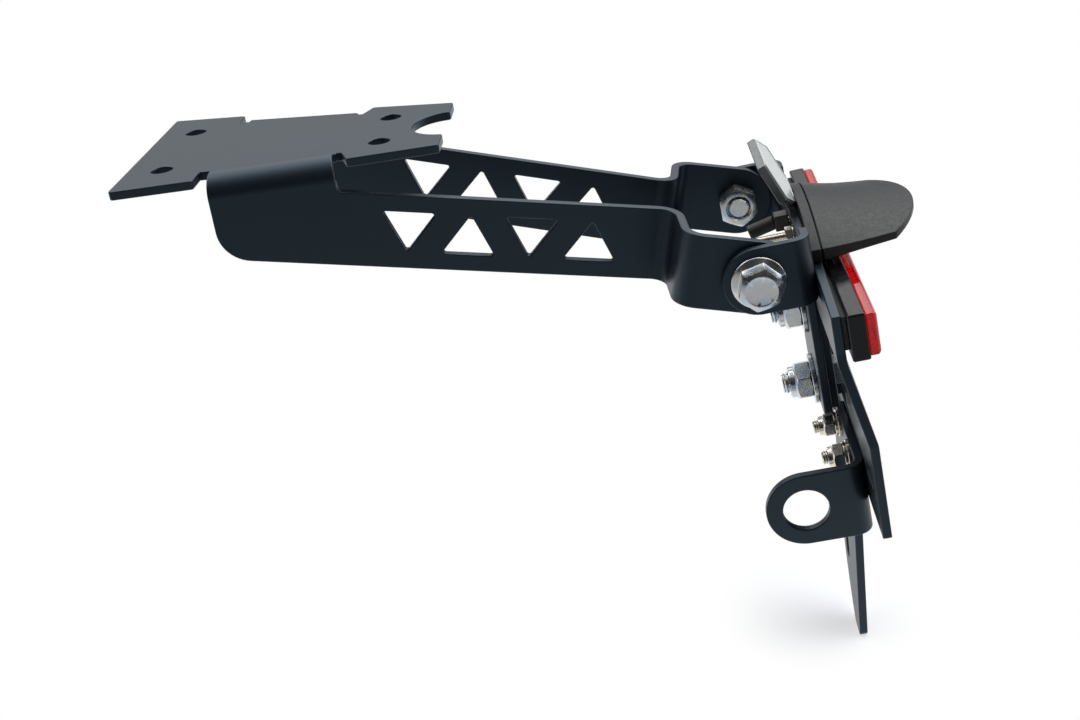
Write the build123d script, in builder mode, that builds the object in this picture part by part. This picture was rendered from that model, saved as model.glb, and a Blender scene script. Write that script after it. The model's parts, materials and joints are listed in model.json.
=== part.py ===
"""Motorbike tail tidy: a folded seat-unit bracket and an angle-adjustable plate holder.

Origin on the upper face of the top plate, midway between its front and rear holes.
+X points rearwards, +Y to the right side of the bike, +Z up. All sizes in millimetres.
"""
import os
from math import cos, radians, sin, tan

from build123d import *

# Folded sheet steel
sheet = 3.0
face_gap = 0.05
hole_play = 0.2

# Top plate
plate_front = 48.5
front_wing_half = 40.2
front_wing_rear_half = 37.0
front_wing_rear = 21.5
bend_rear = 22.8
relief_depth = 0.9
rear_notch_width = 1.8
prong_front = 27.5
prong_front_half = 30.0
prong_rear = 57.1
prong_rear_half = 24.9
mouth_half = 13.0
mouth_depth = 11.6
plate_corner = 1.2
mount_hole = 7.2
front_hole_x = 36.0
front_hole_half = 21.25
rear_hole_x = 36.0
rear_hole_half = 14.1

# Flanges and arms of the top bracket
flange_half = 34.1
arm_taper = 8.0
flange_bend = 7.5
flange_front = 18.0
flange_corner = 11.5
flange_root = 2.0
arm_height = 25.3
arm_slope = 11.9
joggle_front = 128.3
joggle_rear = 130.3
joggle_bend = 5.0
arm_rear_half = 38.4
window_count = 4
window_base = 17.6
window_height = 13.8
window_pitch = 20.2
window_first = 115.0
window_corner = 0.8

# Pivot of the plate holder
pivot_x = 155.5
pivot_z = -51.45
pivot_dia = 8.0
pivot_play = 0.05
pivot_flange_dia = 18.0
pivot_flange_height = 2.0
pivot_head_height = 8.0
pivot_nut_height = 7.5
hex_m8 = 13.0
edge_break = 0.5

# Hinge bracket
holder_lean = 6.5
ear_radius = 11.6
ear_bend = 6.0
wall_front = 15.4
tongue_half = 19.0
tongue_edge = 7.0
tongue_corner = 3.0
wall_step_half = 31.0
wall_step = 6.5
wall_notch_half = 8.0
wall_notch_drop = 3.5
wall_root = 5.0

# Plate bracket, behind the hinge bracket
bracket_top_half = 33.5
bracket_top_drop = 1.5
shoulder_half = 66.7
shoulder_drop = 5.2
shoulder_end = 18.0
wing_half = 72.0
wing_start = 50.0
wing_below_bolts = 11.0
wing_corner = 1.0
flare_round = 9.0
joggle_top = 22.0
joggle_bottom = 50.0
joggle_back = 5.3
joggle_round = 9.0
tab_half = 14.0
tab_slit = 2.0
tab_edge = 5.9
window_gap = 2.1
plate_slot_inset = 14.0
plate_slot_above = 17.0
plate_slot_width = 6.5
plate_slot_length = 15.0

# Plate bolts through the tongue
plate_bolt_dia = 8.0
plate_bolt_drop = 31.0
plate_bolt_head = 5.3
plate_bolt_tip = 2.4
plate_nut_hex = 5.9
plate_nut_collar = 2.1
plate_nut_collar_dia = 11.4
plate_nut_bore = 9.4
plate_washer_dia = 18.5
plate_washer = 1.6

# Signal bracket, on the front of the plate bracket
signal_ear_half = 50.5
signal_ear_radius = 13.7
signal_ear_x = 2.0
signal_ear_below = 8.8
signal_hole = 15.8
signal_bend = 6.0
signal_far = 19.5
signal_step_near = 4.0
signal_step = 9.5
strap_half = 19.5
strap_tip = 10.0
strap_reach = 66.0
strap_tip_round = 2.5
strap_sweep_reach = 38.5
strap_sweep_mid = 12.5
strap_bend_below = 2.0
strap_bend = 5.0
strap_bend_round = 40.0
strap_slot_width = 6.5
strap_slot_length = 41.0
strap_slot_reach = 22.5
strap_slot_across = 5.8
strap_slot_lean = 14.0

# Signal bracket bolts
signal_bolt_dia = 5.0
signal_bolt_offsets = (-33.0, -11.0)
signal_bolt_drop = 74.0
tongue_clear = 7.0
signal_head_dia = 10.0
sink_angle = 45.0
signal_key = 3.0
signal_key_depth = 2.0
signal_bolt_tip = 2.0
hex_m5 = 8.0
signal_nut_hex = 4.0
signal_nut_collar = 1.4
signal_nut_collar_dia = 7.0
signal_nut_bore = 6.0
signal_washer_dia = 10.0
signal_washer = 1.0
spring_washer_dia = 8.6
spring_washer = 1.2
spring_washer_split = 1.0

# Number plate lamp
lamp_half = 32.5
lamp_bottom = -1.0
lamp_edge = 3.2
lamp_crown = 11.2
lamp_base_depth = 3.4
lamp_gap = 0.4
lamp_boss_depth = 1.6
lamp_wall = 2.0
lamp_edge_wall = 1.4
lamp_groove = 0.8
lamp_fit = 0.15
boss_play = 0.7
hood_mid_x = 42.0
hood_mid_half = 27.3
hood_mid_edge = 1.7
hood_mid_crown = 5.6
hood_end_x = 58.0
hood_end_half = 23.6
hood_end_edge = 1.8
hood_end_crown = 3.6
hood_nose_x = 57.2
hood_corner_x = 46.2
hood_corner_half = 26.7
lens_thickness = 1.2
lens_rear = 44.0
lens_half = 23.5
chin_front = 47.0
chin_rise = 15.0
board_half = 16.0
board_depth = 12.0
board_thickness = 1.2
board_height = 2.0
led_size = 3.0
led_height = 1.0
led_pitch = 11.0
led_count = 3
stud_dia = 3.0
stud_across = -11.0
stud_height = 1.6
stud_reach = 14.0
stud_nut_hex = 5.5
stud_nut = 2.4
stud_washer_dia = 7.0
stud_washer = 0.5

# Lamp cable entry
gland_width = 5.6
gland_front = 10.2
gland_length = 4.8
gland_height = 3.0
ferrule_dia = 2.2
sleeve_dia = 5.0
sleeve_length = 9.4
sleeve_droop = 13.0

# Badge
badge_across = 28.0
badge_thickness = 3.3
badge_tilt = 22.4
badge_turn = 4.8
badge_roll = 4.2
badge_x = 13.9
badge_height = 21.1
badge_seat = 0.2
badge_face_thickness = 0.5
badge_face_margin = 0.7
foot_half = 4.0
foot_bottom = 4.6
foot_shoulder = 7.6
foot_top = 9.0
foot_depth = 3.0
foot_chamfer = 1.5
badge_pin_dia = 2.5
badge_pin_height = 6.1
badge_pin_bite = 2.4

# Reflector
reflector_half = 69.6
reflector_top = 4.2
reflector_height = 16.2
reflector_depth = 5.7
reflector_round = 0.8
tape_thickness = 1.5
tape_inset = 0.7
tape_height = 11.5
reflector_lens_half = 68.8
reflector_lens_top = 5.0
reflector_lens_height = 14.4
reflector_lens_depth = 3.4
reflector_lens_chamfer = 0.8

# Worked out from the sizes above
pivot = Vector(pivot_x, 0, pivot_z)
behind = Vector(cos(radians(holder_lean)), 0, sin(radians(holder_lean)))
upward = Vector(-sin(radians(holder_lean)), 0, cos(radians(holder_lean)))
arm_radius = arm_height / 2
arm_rise = tan(radians(arm_slope))
taper = tan(radians(arm_taper))
joggle_height = pivot_z + (pivot_x - (joggle_front + joggle_rear) / 2) * arm_rise
ear_outer = arm_rear_half + face_gap + sheet
wall_rear = wall_front + sheet
tab_rear = wall_rear + sheet
wing_face = wall_rear + joggle_back
wing_rear = wing_face + sheet
signal_face = wing_face - sheet
tongue_drop = signal_bolt_drop - tongue_clear
plate_bolt_drops = (plate_bolt_drop, tongue_drop - tongue_edge)
tab_drop = plate_bolt_drops[-1] + tab_edge
window_drop = tab_drop + window_gap
wing_end = signal_bolt_drop + wing_below_bolts
plate_slot_drop = wing_end - plate_slot_above
plate_slot_half = wing_half - plate_slot_inset
signal_ear_drop = signal_bolt_drop + signal_ear_below
signal_top = signal_ear_drop - signal_ear_radius
signal_bottom = signal_ear_drop + signal_ear_radius
strap_bend_drop = signal_bottom + strap_bend_below
strap_end = strap_bend_drop + strap_reach
strap_sweep_drop = strap_bend_drop + strap_sweep_reach
strap_slot_drop = strap_bend_drop + strap_slot_reach
lamp_face = wall_rear + lamp_base_depth
hood_front = lamp_face + lamp_gap
reflector_face = tab_rear + tape_thickness
foot_front = wall_rear - foot_depth
m8_hole = plate_bolt_dia + 2 * hole_play
m5_hole = signal_bolt_dia + 2 * hole_play
signal_sink = (signal_head_dia - signal_bolt_dia) / 2 / tan(radians(sink_angle))
pivot_hole = pivot_dia + 2 * pivot_play
bolt_line = [(0, -drop) for drop in plate_bolt_drops]
signal_places = [(across, -signal_bolt_drop) for across in signal_bolt_offsets]
stud_place = (stud_across, stud_height)
badge_lean = behind * cos(radians(badge_tilt)) + upward * sin(radians(badge_tilt))
badge_side = Vector(0, cos(radians(badge_turn)), 0) + badge_lean * sin(radians(badge_turn))
badge_normal = badge_lean * cos(radians(badge_turn)) - Vector(0, sin(radians(badge_turn)), 0)
badge_centre = pivot + behind * badge_x + upward * badge_height
badge_plane = Plane(origin=badge_centre, x_dir=badge_side, z_dir=badge_normal)
badge_spin = 30 - badge_roll


def facing(x, height=0):
    """Plane parallel to the holder's wall: sketch x runs across, sketch y up the wall."""
    return Plane(origin=pivot + behind * x + upward * height, x_dir=(0, 1, 0), z_dir=behind)


def side_on(y):
    """Plane square to the pivot axis: sketch x runs rearwards, sketch y up the wall."""
    return Plane(origin=pivot + Vector(0, y, 0), x_dir=behind, z_dir=(0, -1, 0))


def from_above(height):
    """Plane square to the holder's wall: sketch x runs rearwards, sketch y across."""
    return Plane(origin=pivot + upward * height, x_dir=behind, z_dir=upward)


def flange_y(x):
    """Half spacing of the outer faces of the flanges and arms at a distance x."""
    return flange_half - x * taper


def tangent_y(x):
    """Half width of the flat of the top plate where the flange bend begins."""
    return flange_y(x) - flange_bend / cos(radians(arm_taper))


def arm_section(height):
    """Near flange and arm at a height: the joggle's bends stand square to the sloping arm."""
    shift = (height - joggle_height) * arm_rise
    with BuildSketch(Plane.XY.offset(height)) as section:
        with BuildLine():
            near_line = FilletPolyline(
                (-flange_front, -flange_y(-flange_front)),
                (joggle_front + shift, -flange_y(joggle_front + shift)),
                (joggle_rear + shift, -arm_rear_half),
                (pivot_x + arm_radius, -arm_rear_half),
                radius=[joggle_bend, joggle_bend + sheet],
            )
            offset(near_line, amount=sheet, side=Side.LEFT)
        make_face()
    return section.sketch


def finish(piece, label):
    """Name a finished sub-part and write it."""
    piece.part.label = label
    export_step(piece.part, f"parts/{label}.step")


os.makedirs("parts", exist_ok=True)

# Main bracket: top plate, two flanges and two lightened arms, folded from one sheet
with BuildPart() as main_bracket:
    add(arm_section(pivot_z - arm_radius))
    add(arm_section(-flange_bend))
    loft(ruled=True)
    mirror(about=Plane.XZ)
    with BuildSketch(Plane.XZ) as arm_side:
        with BuildLine():
            low_end = Vector(pivot_x, pivot_z) - Vector(0, arm_radius).rotate(Axis.Z, -arm_slope)
            high_end = Vector(pivot_x, pivot_z) + Vector(0, arm_radius).rotate(Axis.Z, -arm_slope)
            Polyline(
                (-flange_front, -flange_bend),
                (-flange_front, low_end.Y + (low_end.X + flange_front) * arm_rise),
                (low_end.X, low_end.Y),
                (high_end.X, high_end.Y),
                (bend_rear, high_end.Y + (high_end.X - bend_rear) * arm_rise),
                (bend_rear, -flange_bend),
                close=True,
            )
        make_face()
        fillet(arm_side.vertices().group_by(Axis.X)[0].sort_by(Axis.Y)[0], flange_corner)
        rear_edge = arm_side.vertices().filter_by(lambda v: abs(v.X - bend_rear) < face_gap)
        fillet(rear_edge.sort_by(Axis.Y)[0], flange_root)
        with Locations((pivot_x, pivot_z)):
            Circle(arm_radius)
            Circle(pivot_hole / 2, mode=Mode.SUBTRACT)
        for index in range(window_count):
            reach = window_pitch * index - window_first
            turn = 180 if index % 2 == 0 else 0
            with Locations(Location((pivot_x, pivot_z, 0), (0, 0, -arm_slope))):
                with Locations((reach, 0)):
                    Triangle(
                        a=window_base,
                        b=(window_base**2 / 4 + window_height**2) ** 0.5,
                        c=(window_base**2 / 4 + window_height**2) ** 0.5,
                        rotation=turn,
                        align=(Align.CENTER, Align.CENTER),
                        mode=Mode.SUBTRACT,
                    )
            fillet(arm_side.vertices(Select.LAST), window_corner)
    extrude(amount=arm_rear_half + sheet, both=True, mode=Mode.INTERSECT)
    rear_end = Vector(bend_rear, -flange_y(bend_rear), 0)
    outward = Vector(sin(radians(arm_taper)), -cos(radians(arm_taper)), 0)
    with BuildSketch(Plane(origin=rear_end, x_dir=outward, z_dir=outward.cross(Vector(0, 0, 1)))):
        with BuildLine():
            RadiusArc((-flange_bend, 0), (0, -flange_bend), flange_bend)
            Line((0, -flange_bend), (-sheet, -flange_bend))
            RadiusArc((-sheet, -flange_bend), (-flange_bend, -sheet), sheet - flange_bend)
            Line((-flange_bend, -sheet), (-flange_bend, 0))
        make_face()
    extrude(amount=(flange_front + bend_rear) / cos(radians(arm_taper)))
    mirror(about=Plane.XZ)
    split(bisect_by=Plane.YZ.offset(-flange_front))
    with BuildSketch(Plane.XY.offset(-sheet)) as top_plate:
        with BuildLine():
            Polyline(
                (-plate_front, 0),
                (-plate_front, front_wing_half),
                (-front_wing_rear, front_wing_rear_half),
                (-front_wing_rear, tangent_y(-flange_front) - relief_depth),
                (-flange_front, tangent_y(-flange_front) - relief_depth),
                (-flange_front, tangent_y(-flange_front)),
                (bend_rear, tangent_y(bend_rear)),
                (bend_rear, tangent_y(bend_rear) - relief_depth),
                (bend_rear + rear_notch_width, tangent_y(bend_rear) - relief_depth),
                (prong_front, prong_front_half),
                (prong_rear, prong_rear_half),
                (prong_rear, mouth_half),
            )
            ThreePointArc(
                (prong_rear, mouth_half),
                (prong_rear - mouth_depth * cos(radians(45)), mouth_half * sin(radians(45))),
                (prong_rear - mouth_depth, 0),
            )
            Line((prong_rear - mouth_depth, 0), (-plate_front, 0))
        make_face()
        mirror(about=Plane.XZ)
        corners = top_plate.vertices().filter_by(
            lambda v: abs(v.Y) > tangent_y(v.X) + relief_depth or v.X > prong_rear - relief_depth
        )
        fillet(corners, plate_corner)
        with Locations((-front_hole_x, 0)):
            with GridLocations(0, 2 * front_hole_half, 1, 2):
                Circle(mount_hole / 2, mode=Mode.SUBTRACT)
        with Locations((rear_hole_x, 0)):
            with GridLocations(0, 2 * rear_hole_half, 1, 2):
                Circle(mount_hole / 2, mode=Mode.SUBTRACT)
    extrude(amount=sheet)
finish(main_bracket, "main_bracket")

# Hinge bracket: two ears outside the arms, a wall and a tongue, folded from one sheet
with BuildPart() as hinge_bracket:
    with BuildSketch(side_on(-ear_outer + sheet)):
        Circle(ear_radius)
        with Locations((wall_rear - ear_bend, 0)):
            Rectangle(wall_rear - ear_bend, 2 * ear_radius, align=(Align.MAX, Align.CENTER))
        Circle(pivot_hole / 2, mode=Mode.SUBTRACT)
    extrude(amount=sheet)
    with BuildSketch(from_above(-ear_radius)):
        with BuildLine():
            RadiusArc(
                (wall_rear - ear_bend, -ear_outer),
                (wall_rear, ear_bend - ear_outer),
                -ear_bend,
            )
            Line((wall_rear, ear_bend - ear_outer), (wall_front, ear_bend - ear_outer))
            RadiusArc(
                (wall_front, ear_bend - ear_outer),
                (wall_rear - ear_bend, sheet - ear_outer),
                ear_bend - sheet,
            )
            Line((wall_rear - ear_bend, sheet - ear_outer), (wall_rear - ear_bend, -ear_outer))
        make_face()
    extrude(amount=2 * ear_radius)
    mirror(about=Plane.XZ)
    with BuildSketch(facing(wall_front)) as wall:
        Rectangle(2 * (ear_outer - ear_bend), 2 * ear_radius)
        Rectangle(2 * tongue_half, tongue_drop, align=(Align.CENTER, Align.MAX))
        fillet(wall.vertices().group_by(Axis.Y)[0], tongue_corner)
        roots = wall.vertices().filter_by(
            lambda v: abs(abs(v.X) - tongue_half) < face_gap and abs(v.Y + ear_radius) < face_gap
        )
        fillet(roots, wall_root)
        with Locations((0, ear_radius)):
            Rectangle(
                2 * wall_step_half, ear_radius - wall_step,
                align=(Align.CENTER, Align.MAX), mode=Mode.SUBTRACT,
            )
            Rectangle(
                2 * wall_notch_half, ear_radius + wall_notch_drop,
                align=(Align.CENTER, Align.MAX), mode=Mode.SUBTRACT,
            )
        with Locations(stud_place):
            Circle(stud_dia / 2 + hole_play, mode=Mode.SUBTRACT)
        with Locations(bolt_line):
            Circle(m8_hole / 2, mode=Mode.SUBTRACT)
    extrude(amount=sheet)
finish(hinge_bracket, "hinge_bracket")

# Plate bracket: stepped back below the reflector, with a flat tab for the plate bolts
with BuildPart() as plate_bracket:
    with BuildSketch(side_on(0)):
        with BuildLine():
            front_line = FilletPolyline(
                (wall_rear, 0),
                (wall_rear, -joggle_top),
                (wing_face, -joggle_bottom),
                (wing_face, -wing_end),
                radius=[joggle_round + sheet, joggle_round],
            )
            offset(front_line, amount=sheet, side=Side.LEFT)
        make_face()
    extrude(amount=wing_half, both=True)
    with BuildSketch(facing(wall_rear)) as bracket_face:
        with BuildLine():
            Polyline(
                (0, -bracket_top_drop),
                (bracket_top_half, -bracket_top_drop),
                (shoulder_half, -shoulder_drop),
                (shoulder_half, -shoulder_end),
                (wing_half, -wing_start),
                (wing_half, -wing_end),
                (0, -wing_end),
                close=True,
            )
        make_face()
        mirror(about=Plane.YZ)
        flares = bracket_face.vertices().filter_by(lambda v: abs(v.Y + shoulder_end) < face_gap)
        fillet(flares, flare_round)
        fillet(bracket_face.vertices().group_by(Axis.Y)[0], wing_corner)
        with Locations((0, -window_drop)):
            Rectangle(
                2 * (tab_half + tab_slit), window_drop - joggle_top + sheet,
                align=(Align.CENTER, Align.MIN), mode=Mode.SUBTRACT,
            )
        with Locations([(side * plate_slot_half, -plate_slot_drop) for side in (-1, 1)]):
            SlotOverall(plate_slot_length, plate_slot_width, mode=Mode.SUBTRACT)
        with Locations(signal_places):
            Circle(m5_hole / 2, mode=Mode.SUBTRACT)
    extrude(amount=joggle_back + 2 * sheet, mode=Mode.INTERSECT)
    with BuildSketch(facing(wing_rear - signal_sink)):
        with Locations(signal_places):
            Circle(m5_hole / 2)
    extrude(amount=signal_sink, taper=-sink_angle, mode=Mode.SUBTRACT)
    with BuildSketch(facing(wall_rear)):
        with Locations((0, -joggle_top + 2 * sheet)):
            Rectangle(
                2 * tab_half, tab_drop - joggle_top + 2 * sheet,
                align=(Align.CENTER, Align.MAX),
            )
        with Locations(bolt_line):
            Circle(m8_hole / 2, mode=Mode.SUBTRACT)
    extrude(amount=sheet)
finish(plate_bracket, "plate_bracket")

# Signal bracket: a wall with one ear for the signal stem and a slotted strap, one sheet
with BuildPart() as signal_bracket:
    with BuildSketch(side_on(0)):
        with BuildLine():
            bend_way = Vector(0, strap_bend_drop - strap_end).rotate(Axis.Z, -strap_bend)
            strap_line = FilletPolyline(
                (signal_face, -signal_ear_drop),
                (signal_face, -strap_bend_drop),
                (signal_face + bend_way.X, -strap_bend_drop + bend_way.Y),
                radius=strap_bend_round,
            )
            offset(strap_line, amount=sheet, side=Side.LEFT)
        make_face()
    extrude(amount=strap_half, both=True)
    with BuildSketch(facing(signal_face - sheet)) as strap_face:
        with BuildLine():
            Polyline(
                (strap_half, -signal_bottom),
                (strap_half, -signal_ear_drop),
                (-strap_half, -signal_ear_drop),
                (-strap_half, -strap_end),
                (strap_tip - strap_half, -strap_end),
            )
            ThreePointArc(
                (strap_tip - strap_half, -strap_end),
                (strap_sweep_mid, -strap_sweep_drop),
                (strap_half, -signal_bottom),
            )
        make_face()
        fillet(strap_face.vertices().group_by(Axis.Y)[0], strap_tip_round)
        with Locations((strap_slot_across, -strap_slot_drop)):
            SlotOverall(
                strap_slot_length,
                strap_slot_width,
                rotation=90 - strap_slot_lean,
                mode=Mode.SUBTRACT,
            )
    extrude(amount=3 * sheet, both=True, mode=Mode.INTERSECT)
    with BuildSketch(facing(signal_face)):
        with BuildLine():
            Polyline(
                (signal_bend - signal_ear_half, -signal_top),
                (-signal_step_near, -signal_top),
                (-signal_step_near, -signal_top - signal_step),
                (signal_far, -signal_top - signal_step),
                (signal_far, -signal_bottom),
                (signal_bend - signal_ear_half, -signal_bottom),
                close=True,
            )
        make_face()
        with Locations(signal_places):
            Circle(m5_hole / 2, mode=Mode.SUBTRACT)
    extrude(amount=sheet)
    with BuildSketch(from_above(-signal_bottom)):
        with BuildLine():
            bend_x = wing_face - signal_bend
            bend_y = signal_bend - signal_ear_half
            RadiusArc((bend_x, -signal_ear_half), (wing_face, bend_y), -signal_bend)
            Line((wing_face, bend_y), (signal_face, bend_y))
            RadiusArc((signal_face, bend_y), (bend_x, sheet - signal_ear_half), signal_bend - sheet)
            Line((bend_x, sheet - signal_ear_half), (bend_x, -signal_ear_half))
        make_face()
    extrude(amount=2 * signal_ear_radius)
    with BuildSketch(side_on(sheet - signal_ear_half)):
        with Locations((signal_ear_x, -signal_ear_drop)):
            Circle(signal_ear_radius)
            Rectangle(bend_x - signal_ear_x, 2 * signal_ear_radius, align=(Align.MIN, Align.CENTER))
            Circle(signal_hole / 2, mode=Mode.SUBTRACT)
    extrude(amount=sheet)
finish(signal_bracket, "signal_bracket")

# Pivot bolts with flanged heads outside the ears, and their nuts inside the arms
with BuildPart() as pivot_bolts:
    with BuildSketch(side_on(-ear_outer - face_gap)):
        Circle(pivot_flange_dia / 2)
    extrude(amount=pivot_flange_height, taper=25)
    with BuildSketch(side_on(-ear_outer - face_gap)):
        RegularPolygon(hex_m8 / 2, 6, major_radius=False)
    extrude(amount=pivot_head_height)
    chamfer(pivot_bolts.faces().sort_by(Axis.Y)[0].edges(), edge_break)
    with BuildSketch(side_on(-ear_outer - face_gap)):
        Circle(pivot_dia / 2)
    extrude(amount=-(ear_outer + face_gap - arm_rear_half + sheet + pivot_nut_height))
    chamfer(pivot_bolts.faces().sort_by(Axis.Y)[-1].edges(), edge_break)
    mirror(about=Plane.XZ)
finish(pivot_bolts, "pivot_bolts")

with BuildPart() as pivot_nuts:
    with BuildSketch(side_on(-arm_rear_half + sheet)):
        RegularPolygon(hex_m8 / 2, 6, major_radius=False, rotation=30)
        Circle(pivot_dia / 2, mode=Mode.SUBTRACT)
    extrude(amount=-pivot_nut_height)
    chamfer(pivot_nuts.faces().sort_by(Axis.Y)[-1].outer_wire().edges(), edge_break)
    mirror(about=Plane.XZ)
finish(pivot_nuts, "pivot_nuts")

# Plate bolts: heads behind the tab, washers and locking nuts on the front of the tongue
with BuildPart() as plate_bolts:
    tip_x = wall_front - plate_washer - plate_nut_hex - plate_nut_collar - plate_bolt_tip
    with BuildSketch(facing(tab_rear)):
        with Locations(bolt_line):
            RegularPolygon(hex_m8 / 2, 6, major_radius=False)
    extrude(amount=plate_bolt_head)
    with BuildSketch(facing(tip_x)):
        with Locations(bolt_line):
            Circle(plate_bolt_dia / 2)
    extrude(amount=tab_rear - tip_x)
finish(plate_bolts, "plate_bolts")

with BuildPart() as plate_washers:
    with BuildSketch(facing(wall_front - plate_washer)):
        with Locations(bolt_line):
            Circle(plate_washer_dia / 2)
            Circle(m8_hole / 2, mode=Mode.SUBTRACT)
    extrude(amount=plate_washer)
finish(plate_washers, "plate_washers")

with BuildPart() as plate_nuts:
    with BuildSketch(facing(wall_front - plate_washer)):
        with Locations(bolt_line):
            RegularPolygon(hex_m8 / 2, 6, major_radius=False, rotation=30)
            Circle(plate_bolt_dia / 2, mode=Mode.SUBTRACT)
    extrude(amount=-plate_nut_hex)
    with BuildSketch(facing(wall_front - plate_washer - plate_nut_hex)):
        with Locations(bolt_line):
            Circle(plate_nut_collar_dia / 2)
            Circle(plate_nut_bore / 2, mode=Mode.SUBTRACT)
    extrude(amount=-plate_nut_collar)
finish(plate_nuts, "plate_nuts")

with BuildPart() as plate_nut_rings:
    with BuildSketch(facing(wall_front - plate_washer - plate_nut_hex)):
        with Locations(bolt_line):
            Circle(plate_nut_bore / 2)
            Circle(plate_bolt_dia / 2, mode=Mode.SUBTRACT)
    extrude(amount=-plate_nut_collar)
finish(plate_nut_rings, "plate_nut_rings")

# Signal bracket bolts: heads sunk flush in the wings, washers and locking nuts on the front
signal_stack = signal_face - signal_washer - spring_washer

with BuildPart() as signal_bolts:
    tip_x = signal_stack - signal_nut_hex - signal_nut_collar - signal_bolt_tip
    with BuildSketch(facing(tip_x)):
        with Locations(signal_places):
            Circle(signal_bolt_dia / 2)
    extrude(amount=wing_rear - tip_x)
    with BuildSketch(facing(wing_rear - signal_sink)):
        with Locations(signal_places):
            Circle(signal_bolt_dia / 2)
    extrude(amount=signal_sink, taper=-sink_angle)
    with BuildSketch(facing(wing_rear)):
        with Locations(signal_places):
            RegularPolygon(signal_key / 2, 6, major_radius=False)
    extrude(amount=-signal_key_depth, mode=Mode.SUBTRACT)
finish(signal_bolts, "signal_bolts")

with BuildPart() as signal_washers:
    with BuildSketch(facing(signal_face - signal_washer)):
        with Locations(signal_places):
            Circle(signal_washer_dia / 2)
            Circle(m5_hole / 2, mode=Mode.SUBTRACT)
    extrude(amount=signal_washer)
finish(signal_washers, "signal_washers")

with BuildPart() as signal_spring_washers:
    with BuildSketch(facing(signal_stack)):
        with Locations(signal_places):
            Circle(spring_washer_dia / 2)
            Circle(m5_hole / 2, mode=Mode.SUBTRACT)
            Rectangle(
                spring_washer_split,
                spring_washer_dia,
                align=(Align.CENTER, Align.MIN),
                mode=Mode.SUBTRACT,
            )
    extrude(amount=spring_washer)
finish(signal_spring_washers, "signal_spring_washers")

with BuildPart() as signal_nuts:
    with BuildSketch(facing(signal_stack)):
        with Locations(signal_places):
            RegularPolygon(hex_m5 / 2, 6, major_radius=False, rotation=30)
            Circle(signal_bolt_dia / 2, mode=Mode.SUBTRACT)
    extrude(amount=-signal_nut_hex)
    with BuildSketch(facing(signal_stack - signal_nut_hex)):
        with Locations(signal_places):
            Circle(signal_nut_collar_dia / 2)
            Circle(signal_nut_bore / 2, mode=Mode.SUBTRACT)
    extrude(amount=-signal_nut_collar)
finish(signal_nuts, "signal_nuts")

with BuildPart() as signal_nut_rings:
    with BuildSketch(facing(signal_stack - signal_nut_hex)):
        with Locations(signal_places):
            Circle(signal_nut_bore / 2)
            Circle(signal_bolt_dia / 2, mode=Mode.SUBTRACT)
    extrude(amount=-signal_nut_collar)
finish(signal_nut_rings, "signal_nut_rings")


def hood_section(x, half, edge, crown, bottom):
    """Arched cross-section of the lamp at a distance x behind the pivot."""
    with BuildSketch(facing(x)) as section:
        with BuildLine():
            Polyline((-half, edge), (-half, bottom), (half, bottom), (half, edge))
            ThreePointArc((half, edge), (0, crown), (-half, edge))
        make_face()
    return section.sketch


def hood_plan(inset, front):
    """Outline of the lamp seen from above, pulled in by an inset."""
    corner = hood_corner_x - inset
    half = hood_corner_half - inset
    root = lamp_half - inset
    with BuildSketch(from_above(lamp_bottom)) as plan:
        with BuildLine():
            Polyline((corner, -half), (front, -root), (front, root), (corner, half))
            ThreePointArc((corner, half), (hood_nose_x - inset, 0), (corner, -half))
        make_face()
    return plan.sketch


# Lamp base: plate on the rear of the wall, with a boss that the hood fits round
with BuildPart() as lamp_base:
    extrude(hood_section(wall_rear, lamp_half, lamp_edge, lamp_crown, lamp_bottom), amount=lamp_base_depth)
    neck = hood_section(
        lamp_face,
        lamp_half - lamp_groove,
        lamp_edge,
        lamp_crown - lamp_groove,
        lamp_bottom + lamp_groove,
    )
    extrude(neck, amount=lamp_gap)
    boss = hood_section(
        lamp_face,
        lamp_half - lamp_wall - boss_play,
        lamp_edge - lamp_edge_wall - boss_play,
        lamp_crown - lamp_wall - boss_play,
        lamp_bottom + lens_thickness + lamp_fit,
    )
    extrude(boss, amount=lamp_gap + lamp_boss_depth)
    with BuildSketch(facing(wall_rear)):
        with Locations((0, badge_pin_height)):
            Circle(badge_pin_dia / 2)
    extrude(amount=badge_pin_bite, mode=Mode.SUBTRACT)
    with BuildSketch(badge_plane.offset(badge_seat)):
        RegularPolygon(badge_across / 2 + badge_seat, 6, rotation=badge_spin)
    extrude(amount=-badge_thickness - 2 * badge_seat, mode=Mode.SUBTRACT)
finish(lamp_base, "lamp_base")

with BuildPart() as lamp_space:
    add(hood_section(
        hood_front, lamp_half - lamp_wall, lamp_edge - lamp_edge_wall, lamp_crown - lamp_wall, lamp_bottom,
    ))
    add(hood_section(
        hood_mid_x, hood_mid_half - lamp_wall, hood_mid_edge - lamp_edge_wall, hood_mid_crown - lamp_wall,
        lamp_bottom,
    ))
    add(hood_section(
        hood_end_x, hood_end_half - lamp_wall, hood_end_edge - lamp_edge_wall, hood_end_crown - lamp_wall,
        lamp_bottom,
    ))
    loft()
    extrude(hood_plan(lamp_wall, hood_front), amount=lamp_crown - lamp_bottom, mode=Mode.INTERSECT)

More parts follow.
